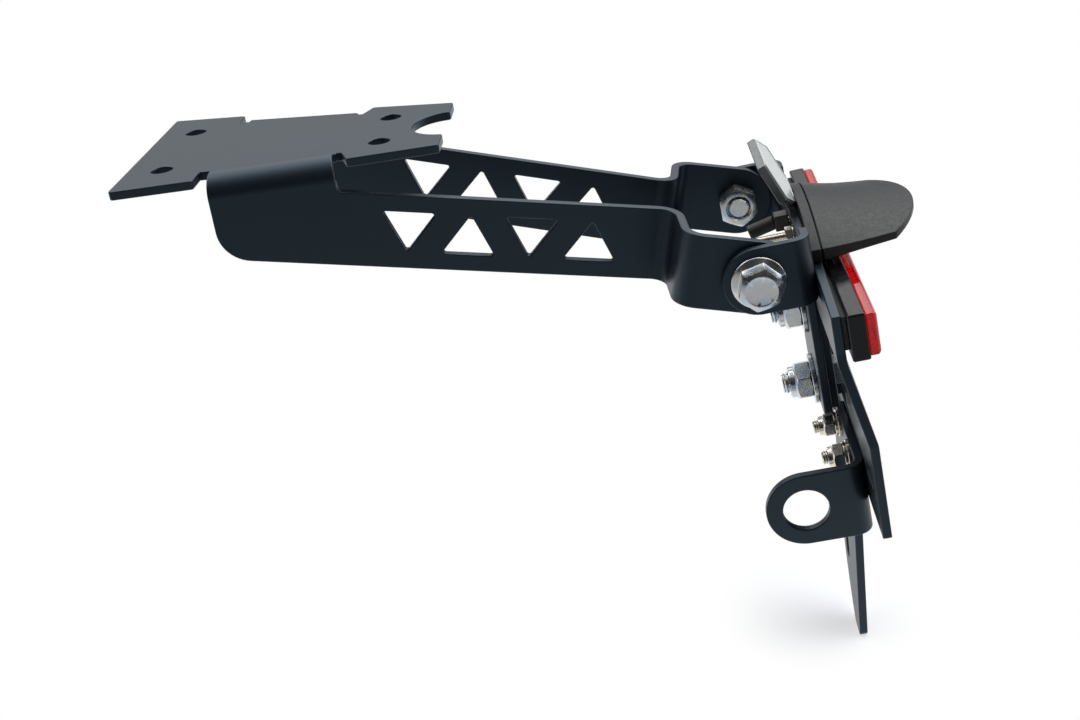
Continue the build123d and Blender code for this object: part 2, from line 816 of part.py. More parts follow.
with BuildPart() as lamp_hood:
    add(hood_section(hood_front, lamp_half, lamp_edge, lamp_crown, lamp_bottom))
    add(hood_section(hood_mid_x, hood_mid_half, hood_mid_edge, hood_mid_crown, lamp_bottom))
    add(hood_section(hood_end_x, hood_end_half, hood_end_edge, hood_end_crown, lamp_bottom))
    loft()
    extrude(hood_plan(0, hood_front), amount=lamp_crown - lamp_bottom, mode=Mode.INTERSECT)
    add(lamp_space.part, mode=Mode.SUBTRACT)
    chin_way = behind * cos(radians(chin_rise)) + upward * sin(radians(chin_rise))
    split(bisect_by=Plane(
        origin=pivot + behind * chin_front + upward * lamp_bottom,
        x_dir=chin_way,
        z_dir=chin_way.cross(Vector(0, 1, 0)),
    ))
finish(lamp_hood, "lamp_hood")

with BuildPart() as lamp_lens:
    with BuildSketch(from_above(lamp_bottom)):
        with Locations((hood_front, 0)):
            Rectangle(lens_rear - hood_front, 2 * lens_half, align=(Align.MIN, Align.CENTER))
    extrude(amount=lens_thickness)
finish(lamp_lens, "lamp_lens")

with BuildPart() as lamp_board:
    with BuildSketch(from_above(board_height)):
        with Locations((hood_front + lamp_boss_depth, 0)):
            Rectangle(board_depth, 2 * board_half, align=(Align.MIN, Align.CENTER))
    extrude(amount=board_thickness)
finish(lamp_board, "lamp_board")

with BuildPart() as lamp_leds:
    with BuildSketch(from_above(board_height)):
        with Locations((hood_front + lamp_boss_depth + board_depth / 2, 0)):
            with GridLocations(0, led_pitch, 1, led_count):
                Rectangle(led_size, led_size)
    extrude(amount=-led_height)
finish(lamp_leds, "lamp_leds")

# Lamp stud through the wall, with a washer and a nut on its front
with BuildPart() as lamp_stud:
    with BuildSketch(facing(wall_rear)):
        with Locations(stud_place):
            Circle(stud_dia / 2)
    extrude(amount=-(sheet + stud_reach))
finish(lamp_stud, "lamp_stud")

with BuildPart() as lamp_washer:
    with BuildSketch(facing(wall_front)):
        with Locations(stud_place):
            Circle(stud_washer_dia / 2)
            Circle(stud_dia / 2 + hole_play, mode=Mode.SUBTRACT)
    extrude(amount=-stud_washer)
finish(lamp_washer, "lamp_washer")

with BuildPart() as lamp_nut:
    with BuildSketch(facing(wall_front - stud_washer)):
        with Locations(stud_place):
            RegularPolygon(stud_nut_hex / 2, 6, major_radius=False)
            Circle(stud_dia / 2, mode=Mode.SUBTRACT)
    extrude(amount=-stud_nut)
finish(lamp_nut, "lamp_nut")

# Cable entry of the lamp: a moulded block, its metal ferrule and a short sleeve
with BuildPart() as cable_block:
    with BuildSketch(facing(gland_front)):
        with Locations((0, gland_height)):
            RectangleRounded(gland_width, gland_width, edge_break)
    extrude(amount=gland_length)
finish(cable_block, "cable_block")

with BuildPart() as cable_ferrule:
    with BuildSketch(facing(gland_front + gland_length)):
        with Locations((0, gland_height)):
            Circle(ferrule_dia / 2)
    extrude(amount=wall_rear - gland_front - gland_length)
finish(cable_ferrule, "cable_ferrule")

with BuildPart() as cable_sleeve:
    with BuildSketch(side_on(0)) as sleeve_half:
        with Locations(Location((gland_front, gland_height, 0), (0, 0, sleeve_droop))):
            Rectangle(sleeve_length, sleeve_dia / 2, align=(Align.MAX, Align.MIN))
    sleeve_way = Vector(-1, 0).rotate(Axis.Z, sleeve_droop)
    sleeve_end = pivot + behind * gland_front + upward * gland_height
    revolve(axis=Axis(sleeve_end, behind * sleeve_way.X + upward * sleeve_way.Y))
    split(bisect_by=facing(gland_front), keep=Keep.BOTTOM)
finish(cable_sleeve, "cable_sleeve")

# Badge: a hexagonal block leaning over the lamp, a little turned, with a foot on the lamp base
with BuildPart() as badge_block:
    with BuildSketch(badge_plane.offset(-badge_face_thickness)):
        RegularPolygon(badge_across / 2, 6, rotation=badge_spin)
    extrude(amount=badge_face_thickness - badge_thickness)
    with BuildSketch(side_on(0)):
        with BuildLine():
            Polyline(
                (foot_front, foot_bottom),
                (wall_rear, foot_bottom),
                (wall_rear, foot_shoulder),
                (wall_rear - foot_chamfer, foot_top),
                (foot_front, foot_top),
                close=True,
            )
        make_face()
    extrude(amount=foot_half, both=True)
    with BuildSketch(facing(wall_rear)):
        with Locations((0, badge_pin_height)):
            Circle(badge_pin_dia / 2)
    extrude(amount=-badge_pin_bite, mode=Mode.SUBTRACT)
finish(badge_block, "badge_block")

with BuildPart() as badge_face:
    with BuildSketch(badge_plane.offset(-badge_face_thickness)):
        RegularPolygon(badge_across / 2 - badge_face_margin, 6, rotation=badge_spin)
    extrude(amount=badge_face_thickness)
finish(badge_face, "badge_face")

with BuildPart() as badge_pin:
    with BuildSketch(facing(wall_rear)):
        with Locations((0, badge_pin_height)):
            Circle(badge_pin_dia / 2)
    extrude(amount=badge_pin_bite, both=True)
finish(badge_pin, "badge_pin")

# Reflector: a bar on tape behind the plate bracket, with a prismatic lens
with BuildPart() as reflector_tape:
    with BuildSketch(facing(tab_rear)):
        with Locations((0, -shoulder_drop - tape_inset)):
            Rectangle(2 * (shoulder_half - tape_inset), tape_height, align=(Align.CENTER, Align.MAX))
    extrude(amount=tape_thickness)
finish(reflector_tape, "reflector_tape")

with BuildPart() as reflector_body:
    with BuildSketch(facing(reflector_face)):
        with Locations((0, -reflector_top)):
            Rectangle(2 * reflector_half, reflector_height, align=(Align.CENTER, Align.MAX))
    extrude(amount=reflector_depth)
    fillet(reflector_body.edges(), reflector_round)
finish(reflector_body, "reflector_body")

with BuildPart() as reflector_lens:
    with BuildSketch(facing(reflector_face + reflector_depth)):
        with Locations((0, -reflector_lens_top)):
            Rectangle(2 * reflector_lens_half, reflector_lens_height, align=(Align.CENTER, Align.MAX))
    extrude(amount=reflector_lens_depth)
    chamfer(reflector_lens.faces().sort_by(Axis((0, 0, 0), behind))[-1].edges(), reflector_lens_chamfer)
finish(reflector_lens, "reflector_lens")
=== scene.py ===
"""Finish of a motorbike tail tidy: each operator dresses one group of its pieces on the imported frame.

Lengths are metres. Places on the plate holder are millimetres in its own leaning frame: x rearwards
from the pivot, y to the right side of the bike, z up the wall.
"""
import json
import math

import bmesh
import bpy
from mathutils import Matrix, Vector
from mathutils.bvhtree import BVHTree


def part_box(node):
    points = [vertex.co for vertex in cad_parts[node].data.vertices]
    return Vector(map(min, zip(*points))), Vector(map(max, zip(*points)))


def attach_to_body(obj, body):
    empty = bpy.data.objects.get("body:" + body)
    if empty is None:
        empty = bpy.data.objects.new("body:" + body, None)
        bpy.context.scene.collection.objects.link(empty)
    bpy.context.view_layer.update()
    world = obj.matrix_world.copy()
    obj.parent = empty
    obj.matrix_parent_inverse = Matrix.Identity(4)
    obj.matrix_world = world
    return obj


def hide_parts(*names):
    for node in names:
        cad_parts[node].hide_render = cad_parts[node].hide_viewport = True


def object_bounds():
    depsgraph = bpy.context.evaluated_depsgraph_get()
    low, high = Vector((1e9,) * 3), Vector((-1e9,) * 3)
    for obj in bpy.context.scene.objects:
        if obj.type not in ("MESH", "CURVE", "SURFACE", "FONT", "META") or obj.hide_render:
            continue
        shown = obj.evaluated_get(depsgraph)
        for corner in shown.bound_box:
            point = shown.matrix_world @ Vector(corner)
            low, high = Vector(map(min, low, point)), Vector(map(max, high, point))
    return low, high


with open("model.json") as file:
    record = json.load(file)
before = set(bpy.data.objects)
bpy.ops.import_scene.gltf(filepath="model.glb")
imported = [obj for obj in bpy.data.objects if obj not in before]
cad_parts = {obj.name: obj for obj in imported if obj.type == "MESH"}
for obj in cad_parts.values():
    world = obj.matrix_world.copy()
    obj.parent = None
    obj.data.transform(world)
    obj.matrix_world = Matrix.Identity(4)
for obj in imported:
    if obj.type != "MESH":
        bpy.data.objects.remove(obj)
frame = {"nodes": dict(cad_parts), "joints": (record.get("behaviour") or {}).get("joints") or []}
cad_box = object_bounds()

bl_info = {
    "name": "Tail tidy finish",
    "version": (1, 0, 0),
    "blender": (4, 5, 0),
    "location": "View3D > Sidebar > Tail tidy",
    "description": "Coatings, fasteners, lamp, badge and reflector of a motorbike tail tidy",
    "category": "Object",
}

MM = 0.001

# Place and lean of the plate holder
PIVOT = Vector(frame["joints"][0]["pos_m"])
HOLDER_LEAN = math.radians(6.5)
BEHIND = Vector((math.cos(HOLDER_LEAN), 0, math.sin(HOLDER_LEAN)))
UPWARD = Vector((-math.sin(HOLDER_LEAN), 0, math.cos(HOLDER_LEAN)))
ACROSS = Vector((0, 1, 0))

# Merging and smoothing of the frame's tessellated solids
WELD = 1e-6
FLAT_ANGLE = math.radians(0.6)
EDGE_ANGLE = math.radians(34)
SHARP_ANGLE = math.radians(42)
STRAY = 0.1 * MM

# Directions round a hexagon, in degrees from one of its corners
HEX_STEPS = (0, 1.6, 3.2, 8, 13, 18, 23, 28, 32, 37, 42, 47, 52, 56.8, 58.4)
HEX_ANGLES = [math.radians(60 * side + step) for side in range(6) for step in HEX_STEPS]

# Share of a hexagon's corner that stays when it is broken, and the slope of its end chamfer
CORNER_KEEP = 0.984
HEX_CHAMFER = math.tan(math.radians(30))

# Spin in degrees that puts a flat, not a corner, of a hexagon on its place's X axis
FLAT_FIRST = 30

# Directions round a turned piece
ROUND_STEPS = 64
ROUND_ANGLES = [math.tau * step / ROUND_STEPS for step in range(ROUND_STEPS)]

# Flanged head, as (outwards, upwards) in mm: rounded rim from its radius, hollow from the hexagon's side,
# the dished top from the crown's edge, and its floor as a share of the crown
FLANGE_RIM = ((-0.35, 0), (-0.05, 0.25), (0, 0.55), (-0.12, 0.85), (-0.4, 1.02))
FLANGE_HOLLOW = ((0.35, 1.75), (0.05, 1.95))
FLANGE_HEX_FOOT = 2.1
FLANGE_CROWN = 0.84
DISH_EDGE = ((-0.55, 0), (-0.85, -0.22))
DISH_DEPTH = 0.28
DISH_FLOOR = 0.5

# Plain head: washer face under it, as (outwards, upwards) from the hexagon's side, and the hexagon's foot
WASHER_FACE = ((-0.2, 0), (-0.1, 0.3))
WASHER_FACE_TOP = 0.35

# Threads: rings along one turn, sides round the rod and depth as a share of the pitch
THREAD_RINGS = 8
THREAD_SIDES = 28
THREAD_DEPTH = 0.55

# Stretch of a noise pattern's values over which a finish changes
PATTERN_SPAN = (0.3, 0.7)


def paint(code):
    """Linear colour of an sRGB hex value."""
    channels = [int(code[start:start + 2], 16) / 255 for start in (0, 2, 4)]
    return [c / 12.92 if c <= 0.04045 else ((c + 0.055) / 1.055) ** 2.4 for c in channels]


def opaque(colour):
    """Colour of a property as a colour socket takes it."""
    return (*colour, 1.0)


def per_mm(size):
    """Texture scale that draws a pattern of this size in millimetres on Object coordinates."""
    return 1 / (size * MM)


def add_node(tree, kind, inputs=(), **settings):
    """Add a node: settings are its own properties, inputs maps a socket to a value or an output."""
    node = tree.nodes.new(kind)
    for name, value in settings.items():
        setattr(node, name, value)
    for socket, value in dict(inputs).items():
        if isinstance(value, bpy.types.NodeSocket):
            tree.links.new(value, node.inputs[socket])
        else:
            node.inputs[socket].default_value = value
    return node


def between(value, given, wanted):
    """Socket values that take one span of a value to another."""
    return {
        "Value": value, "From Min": given[0], "From Max": given[1],
        "To Min": wanted[0], "To Max": wanted[1],
    }


def colour_setting(name, description, code):
    """Colour property with an sRGB hex default."""
    return bpy.props.FloatVectorProperty(
        name=name, description=description, subtype="COLOR", size=3, min=0, max=1, default=paint(code)
    )


def length_setting(name, description, size):
    """Length property with a default in millimetres."""
    return bpy.props.FloatProperty(
        name=name, description=description, default=size * MM, unit="LENGTH", precision=5
    )


class TidyColours(bpy.types.PropertyGroup):
    """Colours of the finishes."""

    coat: colour_setting("Powder coat", "Black coat of the folded sheets", "0D1219")
    coat_pale: colour_setting("Powder coat, pale", "Thinner patches of the coat", "121820")
    coat_gloss: colour_setting("Powder coat, gloss", "Cool tint of the coat's reflections", "C4E6FF")
    zinc: colour_setting("Zinc", "Plated M8 fasteners", "CDD3D9")
    zinc_cool: colour_setting("Zinc, cool", "Blue passivation of the plating", "B3C4D8")
    zinc_warm: colour_setting("Zinc, warm", "Yellow passivation of the plating", "D6D5CC")
    stainless: colour_setting("Stainless", "Small bright fasteners", "DED8CC")
    nylon: colour_setting("Nylon", "Locking rings of the nuts", "D5DBE0")
    lamp: colour_setting("Lamp plastic", "Grained housing of the lamp", "191B1D")
    clear: colour_setting("Clear plastic", "Lens under the lamp", "F3F6F6")
    board: colour_setting("Board", "White solder mask of the lamp's board", "DFE4DF")
    diode: colour_setting("Diodes", "Phosphor of the lamp's diodes", "F2E7A4")
    moulding: colour_setting("Cable moulding", "Block where the lamp's cable enters", "1D1F22")
    rubber: colour_setting("Rubber", "Cable sleeve", "1A1B1D")
    badge: colour_setting("Badge block", "Moulded block of the badge", "54585A")
    badge_face: colour_setting("Badge face", "Silver plate on the badge", "9AA1A3")
    foam: colour_setting("Foam tape", "Strip behind the reflector", "313334")
    reflector: colour_setting("Reflector body", "Moulded body of the reflector", "0F1114")
    # Red lens and red prisms also colour the prisms' painted glow
    red: colour_setting("Red lens", "Outer plastic of the reflector", "C8141A")
    prism: colour_setting("Red prisms", "Reflex prisms inside the lens", "FF2A1A")
    # The floor's grey also sets how dark the painted shadow round the foot is
    floor: colour_setting("Floor", "Paper that the part stands on", "DFE2E6")


class TidySizes(bpy.types.PropertyGroup):
    """Sizes of the details that the finish adds."""

    sheet_edge: length_setting("Sheet edge", "Rounding of the coated sheets' edges", 0.4)
    moulded_edge: length_setting("Moulded edge", "Rounding of the plastic pieces' edges", 0.35)
    fine_edge: length_setting("Fine edge", "Rounding of the small pieces' edges", 0.18)
    pitch_m8: length_setting("M8 pitch", "Thread pitch of the pivot and plate bolts", 1.25)
    pitch_m5: length_setting("M5 pitch", "Thread pitch of the signal bracket bolts", 0.8)
    pitch_m3: length_setting("M3 pitch", "Thread pitch of the lamp stud", 0.5)
    prism_pitch: length_setting("Prism pitch", "Width of one reflex prism", 2.4)
    prism_depth: length_setting("Prism depth", "Height of one reflex prism", 1.3)


# Finishes


def start_material(name):
    """Empty node material, with its tree and the Object coordinates that its patterns read."""
    material = bpy.data.materials.new(name)
    material.use_nodes = True
    tree = material.node_tree
    tree.nodes.clear()
    return material, tree, add_node(tree, "ShaderNodeTexCoord").outputs["Object"]


def end_material(tree, gloss=None, relief=None, **shader):
    """Principled surface with these sockets, named with underscores, joined to the output.

    Gloss is a pattern with the roughness at its low and at its high values. Relief is a height pattern
    with the bump's strength and its depth in millimetres.
    """
    sockets = {name.replace("_", " "): value for name, value in shader.items()}
    if gloss:
        pattern, low, high = gloss
        satin = add_node(tree, "ShaderNodeMapRange", between(pattern, PATTERN_SPAN, (low, high)))
        sockets["Roughness"] = satin.outputs[0]
    if relief:
        height, strength, depth = relief
        bump = add_node(
            tree, "ShaderNodeBump", {"Height": height, "Strength": strength, "Distance": depth * MM},
        )
        sockets["Normal"] = bump.outputs[0]
    surface = add_node(tree, "ShaderNodeBsdfPrincipled", sockets)
    add_node(tree, "ShaderNodeOutputMaterial", {"Surface": surface.outputs["BSDF"]})


def powder_coat(colours):
    """Powder coat baked on steel sheet: satin black with a faint orange peel that softens reflections."""
    material, tree, place = start_material("satin_powder_coat")
    peel = add_node(tree, "ShaderNodeTexNoise", {"Vector": place, "Scale": per_mm(1.6), "Detail": 1.5})
    grit = add_node(tree, "ShaderNodeTexNoise", {"Vector": place, "Scale": per_mm(0.22), "Detail": 1.0})
    cloud = add_node(tree, "ShaderNodeTexNoise", {"Vector": place, "Scale": per_mm(24), "Detail": 2.0})
    tone = add_node(
        tree, "ShaderNodeMix",
        {0: cloud.outputs["Fac"], 6: opaque(colours.coat), 7: opaque(colours.coat_pale)}, data_type="RGBA",
    )
    peel_over_grit = 2.5
    height = add_node(
        tree, "ShaderNodeMath", {0: peel.outputs["Fac"], 1: peel_over_grit, 2: grit.outputs["Fac"]},
        operation="MULTIPLY_ADD",
    )
    end_material(
        tree, gloss=(grit.outputs["Fac"], 0.36, 0.46), relief=(height.outputs[0], 0.5, 0.018),
        Base_Color=tone.outputs[2], IOR=1.53, Specular_Tint=opaque(colours.coat_gloss),
    )
    return material


def zinc_plate(colours):
    """Bright zinc plate with thin passivation: silver with drifting blue and straw tints."""
    material, tree, place = start_material("passivated_zinc_plate")
    drift = add_node(tree, "ShaderNodeTexNoise", {"Vector": place, "Scale": per_mm(4.5), "Detail": 2.0})
    scuff = add_node(tree, "ShaderNodeTexNoise", {"Vector": place, "Scale": per_mm(1.4), "Detail": 1.0})
    tint = add_node(tree, "ShaderNodeValToRGB", {"Fac": drift.outputs["Fac"]})
    cool, warm = tint.color_ramp.elements
    cool.position, cool.color = 0.3, opaque(colours.zinc_cool)
    warm.position, warm.color = 0.72, opaque(colours.zinc_warm)
    tint.color_ramp.elements.new(0.5).color = opaque(colours.zinc)
    end_material(
        tree, gloss=(scuff.outputs["Fac"], 0.24, 0.29), relief=(scuff.outputs["Fac"], 0.03, 0.005),
        Base_Color=tint.outputs["Color"], Metallic=1.0,
    )
    return material


def bright_stainless(colours):
    """Cold-formed stainless steel: warm bright metal with fine rolling marks."""
    material, tree, place = start_material("bright_stainless_steel")
    marks = add_node(tree, "ShaderNodeTexNoise", {"Vector": place, "Scale": per_mm(0.35), "Detail": 2.0})
    end_material(
        tree, gloss=(marks.outputs["Fac"], 0.1, 0.24), relief=(marks.outputs["Fac"], 0.15, 0.01),
        Base_Color=opaque(colours.stainless), Metallic=1.0,
    )
    return material


def moulded_plastic(name, colour, roughness, grain, depth, index=1.5):
    """Injection moulded plastic of one colour and refractive index, whose mould was spark-eroded.

    The grain's size and depth are in millimetres, and a broader mottle moves the roughness a little.
    """
    material, tree, place = start_material(name)
    pebble = add_node(
        tree, "ShaderNodeTexVoronoi", {"Vector": place, "Scale": per_mm(grain)}, feature="SMOOTH_F1",
    )
    mottle = add_node(
        tree, "ShaderNodeTexNoise", {"Vector": place, "Scale": per_mm(grain * 3), "Detail": 2.0},
    )
    end_material(
        tree, gloss=(mottle.outputs["Fac"], roughness - 0.05, roughness + 0.07),
        relief=(pebble.outputs["Distance"], 0.6, depth), Base_Color=opaque(colour), IOR=index,
    )
    return material


def brushed_badge(colours):
    """Brushed aluminium plate under lacquer: pale silver with fine upright lines."""
    material, tree, place = start_material("brushed_aluminium_badge")
    line = add_node(tree, "ShaderNodeMapping", {"Vector": place, "Scale": (0.12, 1.0, 0.12)})
    brush = add_node(
        tree, "ShaderNodeTexNoise", {"Vector": line.outputs[0], "Scale": per_mm(0.22), "Detail": 3.0},
    )
    end_material(
        tree, gloss=(brush.outputs["Fac"], 0.26, 0.42), relief=(brush.outputs["Fac"], 0.2, 0.02),
        Base_Color=opaque(colours.badge_face), Metallic=0.1, Coat_Weight=0.4, Coat_Roughness=0.08,
    )
    return material


def clear_plastic(name, colour, roughness, clarity):
    """Polished see-through plastic, slightly wavy from its mould; the rest of its clarity is body colour."""
    material, tree, place = start_material(name)
    wave = add_node(tree, "ShaderNodeTexNoise", {"Vector": place, "Scale": per_mm(5), "Detail": 1.0})
    end_material(
        tree, relief=(wave.outputs["Fac"], 0.1, 0.05), Base_Color=opaque(colour), Roughness=roughness,
        IOR=1.49, Transmission_Weight=clarity,
    )
    return material


def prisms_with_painted_glow(colours):
    """Corner-cube prisms of red plastic, orange-red, with a painted glow in place of the light their facets
    throw back.
    """
    material, tree, place = start_material("red_reflex_prisms")
    facet = add_node(tree, "ShaderNodeTexNoise", {"Vector": place, "Scale": per_mm(1.4), "Detail": 1.0})
    tone = add_node(
        tree, "ShaderNodeMix",
        {0: facet.outputs["Fac"], 6: opaque(colours.red), 7: opaque(colours.prism)}, data_type="RGBA",
    ).outputs[2]
    # Painted glow: the prisms emit their own red, standing in for the light that they throw back
    end_material(tree, Base_Color=tone, Roughness=0.25, Emission_Color=tone, Emission_Strength=0.3)
    return material


def foam(colours):
    """Closed-cell foam tape: dull grey with open pores on its cut edges."""
    material, tree, place = start_material("closed_cell_foam_tape")
    pores = add_node(tree, "ShaderNodeTexVoronoi", {"Vector": place, "Scale": per_mm(0.4)})
    end_material(
        tree, relief=(pores.outputs["Distance"], 0.8, 0.12), Base_Color=opaque(colours.foam), Roughness=0.95,
    )
    return material


# Meshes


def new_piece(name, mesh, finish):
    """Object at the origin with one finish, its flats kept flat and its rounded edges smooth."""
    mesh.materials.clear()
    mesh.materials.append(finish)
    mesh.shade_smooth()
    mesh.set_sharp_from_angle(angle=SHARP_ANGLE)
    piece = bpy.data.objects.new(name, mesh)
    bpy.context.scene.collection.objects.link(piece)
    smooth = piece.modifiers.new("Flat faces", "WEIGHTED_NORMAL")
    smooth.keep_sharp = True
    return piece


def evaluated_mesh(piece):
    """Plain mesh of an object as its modifiers leave it."""
    bpy.context.view_layer.update()
    graph = bpy.context.evaluated_depsgraph_get()
    return bpy.data.meshes.new_from_object(piece.evaluated_get(graph), depsgraph=graph)


def settle(piece):
    """Turn a piece's modifiers into its mesh."""
    mesh = evaluated_mesh(piece)
    mesh.name = piece.name
    piece.modifiers.clear()
    piece.data = mesh
    return piece


def attach(piece, body, slot, *nodes):
    """Let a finished piece ride on a body and stand for nodes, which it hides; its slot is not used."""
    settle(piece)
    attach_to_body(piece, body)
    if nodes:
        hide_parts(*nodes)
    return piece


def merged_copy(node):
    """Mesh of a CAD node with its loose triangles joined and its flats dissolved."""
    mesh = frame["nodes"][node].data.copy()
    for layer in ("custom_normal", "sharp_edge", "sharp_face"):
        if layer in mesh.attributes:
            mesh.attributes.remove(mesh.attributes[layer])
    form = bmesh.new()
    form.from_mesh(mesh)
    bmesh.ops.remove_doubles(form, verts=form.verts, dist=WELD)
    bmesh.ops.dissolve_limit(form, angle_limit=FLAT_ANGLE, verts=form.verts, edges=form.edges)
    form.to_mesh(mesh)
    form.free()
    return mesh


def draw_back(mesh, node):
    """Bring points that the rounding of a very short edge throws off back to the node's surface."""
    solid = frame["nodes"][node].data
    surface = BVHTree.FromPolygons(
        [vertex.co for vertex in solid.vertices], [face.vertices for face in solid.polygons],
    )
    for vertex in mesh.vertices:
        spot, normal, _, gap = surface.find_nearest(vertex.co)
        if gap > STRAY and normal.dot(vertex.co - spot) > 0:
            vertex.co = spot


def dress(node, body, slot, finish, edge, steps=3):
    """Stand a finished copy with rounded edges in a CAD node's place."""
    piece = new_piece(node + "_finish", merged_copy(node), finish)
    rounding = piece.modifiers.new("Rounded edges", "BEVEL")
    rounding.width = edge
    rounding.segments = steps
    rounding.limit_method = "ANGLE"
    rounding.angle_limit = EDGE_ANGLE
    rounding.use_clamp_overlap = False
    rounding.loop_slide = False
    rounding.face_strength_mode = "FSTR_ALL"
    piece.modifiers["Flat faces"].use_face_influence = True
    piece.modifiers.move(1, 0)
    draw_back(settle(piece).data, node)
    return attach(piece, body, slot, node)


def turned_mesh(name, profile, angles, ring=False):
    """Turned shape about Z: profile(angle) lists its (radius, height) points in mm; a ring has a bore."""
    form = bmesh.new()
    columns = []
    for angle in angles:
        spoke = Vector((math.cos(angle), math.sin(angle), 0)) * MM
        columns.append([form.verts.new(spoke * r + Vector((0, 0, z * MM))) for r, z in profile(angle)])
    count = len(columns[0])
    steps = [(low, (low + 1) % count) for low in range(count if ring else count - 1)]
    for column, following in zip(columns, columns[1:] + columns[:1]):
        for low, high in steps:
            form.faces.new((column[low], following[low], following[high], column[high]))
    bmesh.ops.remove_doubles(form, verts=form.verts, dist=WELD / 10)
    bmesh.ops.recalc_face_normals(form, faces=form.faces)
    mesh = bpy.data.meshes.new(name)
    form.to_mesh(mesh)
    form.free()
    return mesh


def hex_radius(angle, flats):
    """Distance from a hexagon's centre to its side, with its corners slightly broken."""
    turn = (angle + math.pi / 6) % (math.pi / 3) - math.pi / 6
    side = flats / 2 / math.cos(math.pi / 6 - abs(turn))
    return min(side, flats / math.sqrt(3) * CORNER_KEEP)


def hex_rim(angle, flats, low, high, both=True, crown=0.94):
    """Outer points of a hexagon between two heights, chamfered on its upper or on both ends.

    The crown is the share of the flats that the chamfer leaves on the end face.
    """
    radius = hex_radius(angle, flats)
    top = flats / 2 * crown
    fall = (radius - top) * HEX_CHAMFER
    foot = [(top, low), (radius, low + fall)] if both else [(radius, low)]
    return foot + [(radius, high - fall), (top, high)]


def joined(name, parts):
    """One mesh made of several (mesh, matrix) parts."""
    form = bmesh.new()
    for mesh, matrix in parts:
        part = mesh.copy()
        part.transform(matrix)
        form.from_mesh(part)
    mesh = bpy.data.meshes.new(name)
    form.to_mesh(mesh)
    form.free()
    return mesh


# Geometry node trees


def start_tree(name, inputs):
    """Geometry tree with these named inputs, and its group input node."""
    tree = bpy.data.node_groups.new(name, "GeometryNodeTree")
    tree.interface.new_socket("Geometry", in_out="INPUT", socket_type="NodeSocketGeometry")
    for label, kind in inputs.items():
        tree.interface.new_socket(label, in_out="INPUT", socket_type=kind)
    tree.interface.new_socket("Geometry", in_out="OUTPUT", socket_type="NodeSocketGeometry")
    return tree, add_node(tree, "NodeGroupInput").outputs


def end_tree(tree, geometry, finish):
    """Close a tree with real geometry in one finish."""
    real = add_node(tree, "GeometryNodeRealizeInstances", {"Geometry": geometry})
    coated = add_node(
        tree, "GeometryNodeSetMaterial", {"Geometry": real.outputs["Geometry"], "Material": finish},
    )
    add_node(tree, "NodeGroupOutput", {"Geometry": coated.outputs["Geometry"]})
    return tree


def grow(tree, points, **values):
    """Mesh that a tree makes from a points mesh and these inputs, named with underscores."""
    holder = bpy.data.objects.new("grown", points)
    bpy.context.scene.collection.objects.link(holder)
    modifier = holder.modifiers.new("Grow", "NODES")
    modifier.node_group = tree
    sockets = {item.name: item.identifier for item in tree.interface.items_tree if item.in_out == "INPUT"}
    for name, value in values.items():
        modifier[sockets[name.replace("_", " ")]] = value
    mesh = evaluated_mesh(holder)
    bpy.data.objects.remove(holder)
    return mesh


def thread_tree():
    """Threaded rod standing on the origin: a cylinder whose radius follows a helix, its tip chamfered."""
    tree, given = start_tree("threaded_rod", {
        "Diameter": "NodeSocketFloat", "Length": "NodeSocketFloat", "Pitch": "NodeSocketFloat",
        "Depth": "NodeSocketFloat", "Rings": "NodeSocketInt", "Finish": "NodeSocketMaterial",
    })
    rod = add_node(
        tree, "GeometryNodeMeshCylinder",
        {"Vertices": THREAD_SIDES, "Side Segments": given["Rings"], "Radius": 1.0, "Depth": given["Length"]},
        fill_type="NGON",
    )
    here = add_node(tree, "GeometryNodeInputPosition").outputs[0]
    spot = add_node(tree, "ShaderNodeSeparateXYZ", {0: here}).outputs
    known = {name: given[name] for name in ("Diameter", "Length", "Pitch", "Depth")}
    known.update({axis: spot[axis] for axis in "XYZ"})
    # Each step names its result, its operation and the two values that it takes
    steps = (
        ("middle", "MULTIPLY", "Length", 0.5),
        ("height", "ADD", "middle", "Z"),
        ("angle", "ARCTAN2", "Y", "X"),
        ("turns", "DIVIDE", "angle", math.tau),
        ("climb", "DIVIDE", "height", "Pitch"),
        ("phase", "SUBTRACT", "climb", "turns"),
        ("wave", "PINGPONG", "phase", 0.5),
        ("share", "MULTIPLY", "wave", 2.0),
        ("groove", "MULTIPLY", "share", "Depth"),
        ("major", "MULTIPLY", "Diameter", 0.5),
        ("ridge", "SUBTRACT", "major", "groove"),
        ("root", "SUBTRACT", "major", "Depth"),
        ("above", "SUBTRACT", "Length", "height"),
        ("cone", "ADD", "root", "above"),
        ("radius", "MINIMUM", "ridge", "cone"),
        ("out x", "MULTIPLY", "X", "radius"),
        ("out y", "MULTIPLY", "Y", "radius"),
    )
    for name, operation, first, second in steps:
        values = {0: known.get(first, first), 1: known.get(second, second)}
        known[name] = add_node(tree, "ShaderNodeMath", values, operation=operation).outputs[0]
    moved = add_node(
        tree, "ShaderNodeCombineXYZ", {"X": known["out x"], "Y": known["out y"], "Z": known["height"]},
    ).outputs[0]
    shaped = add_node(tree, "GeometryNodeSetPosition", {"Geometry": rod.outputs["Mesh"], "Position": moved})
    return end_tree(tree, shaped.outputs["Geometry"], given["Finish"])


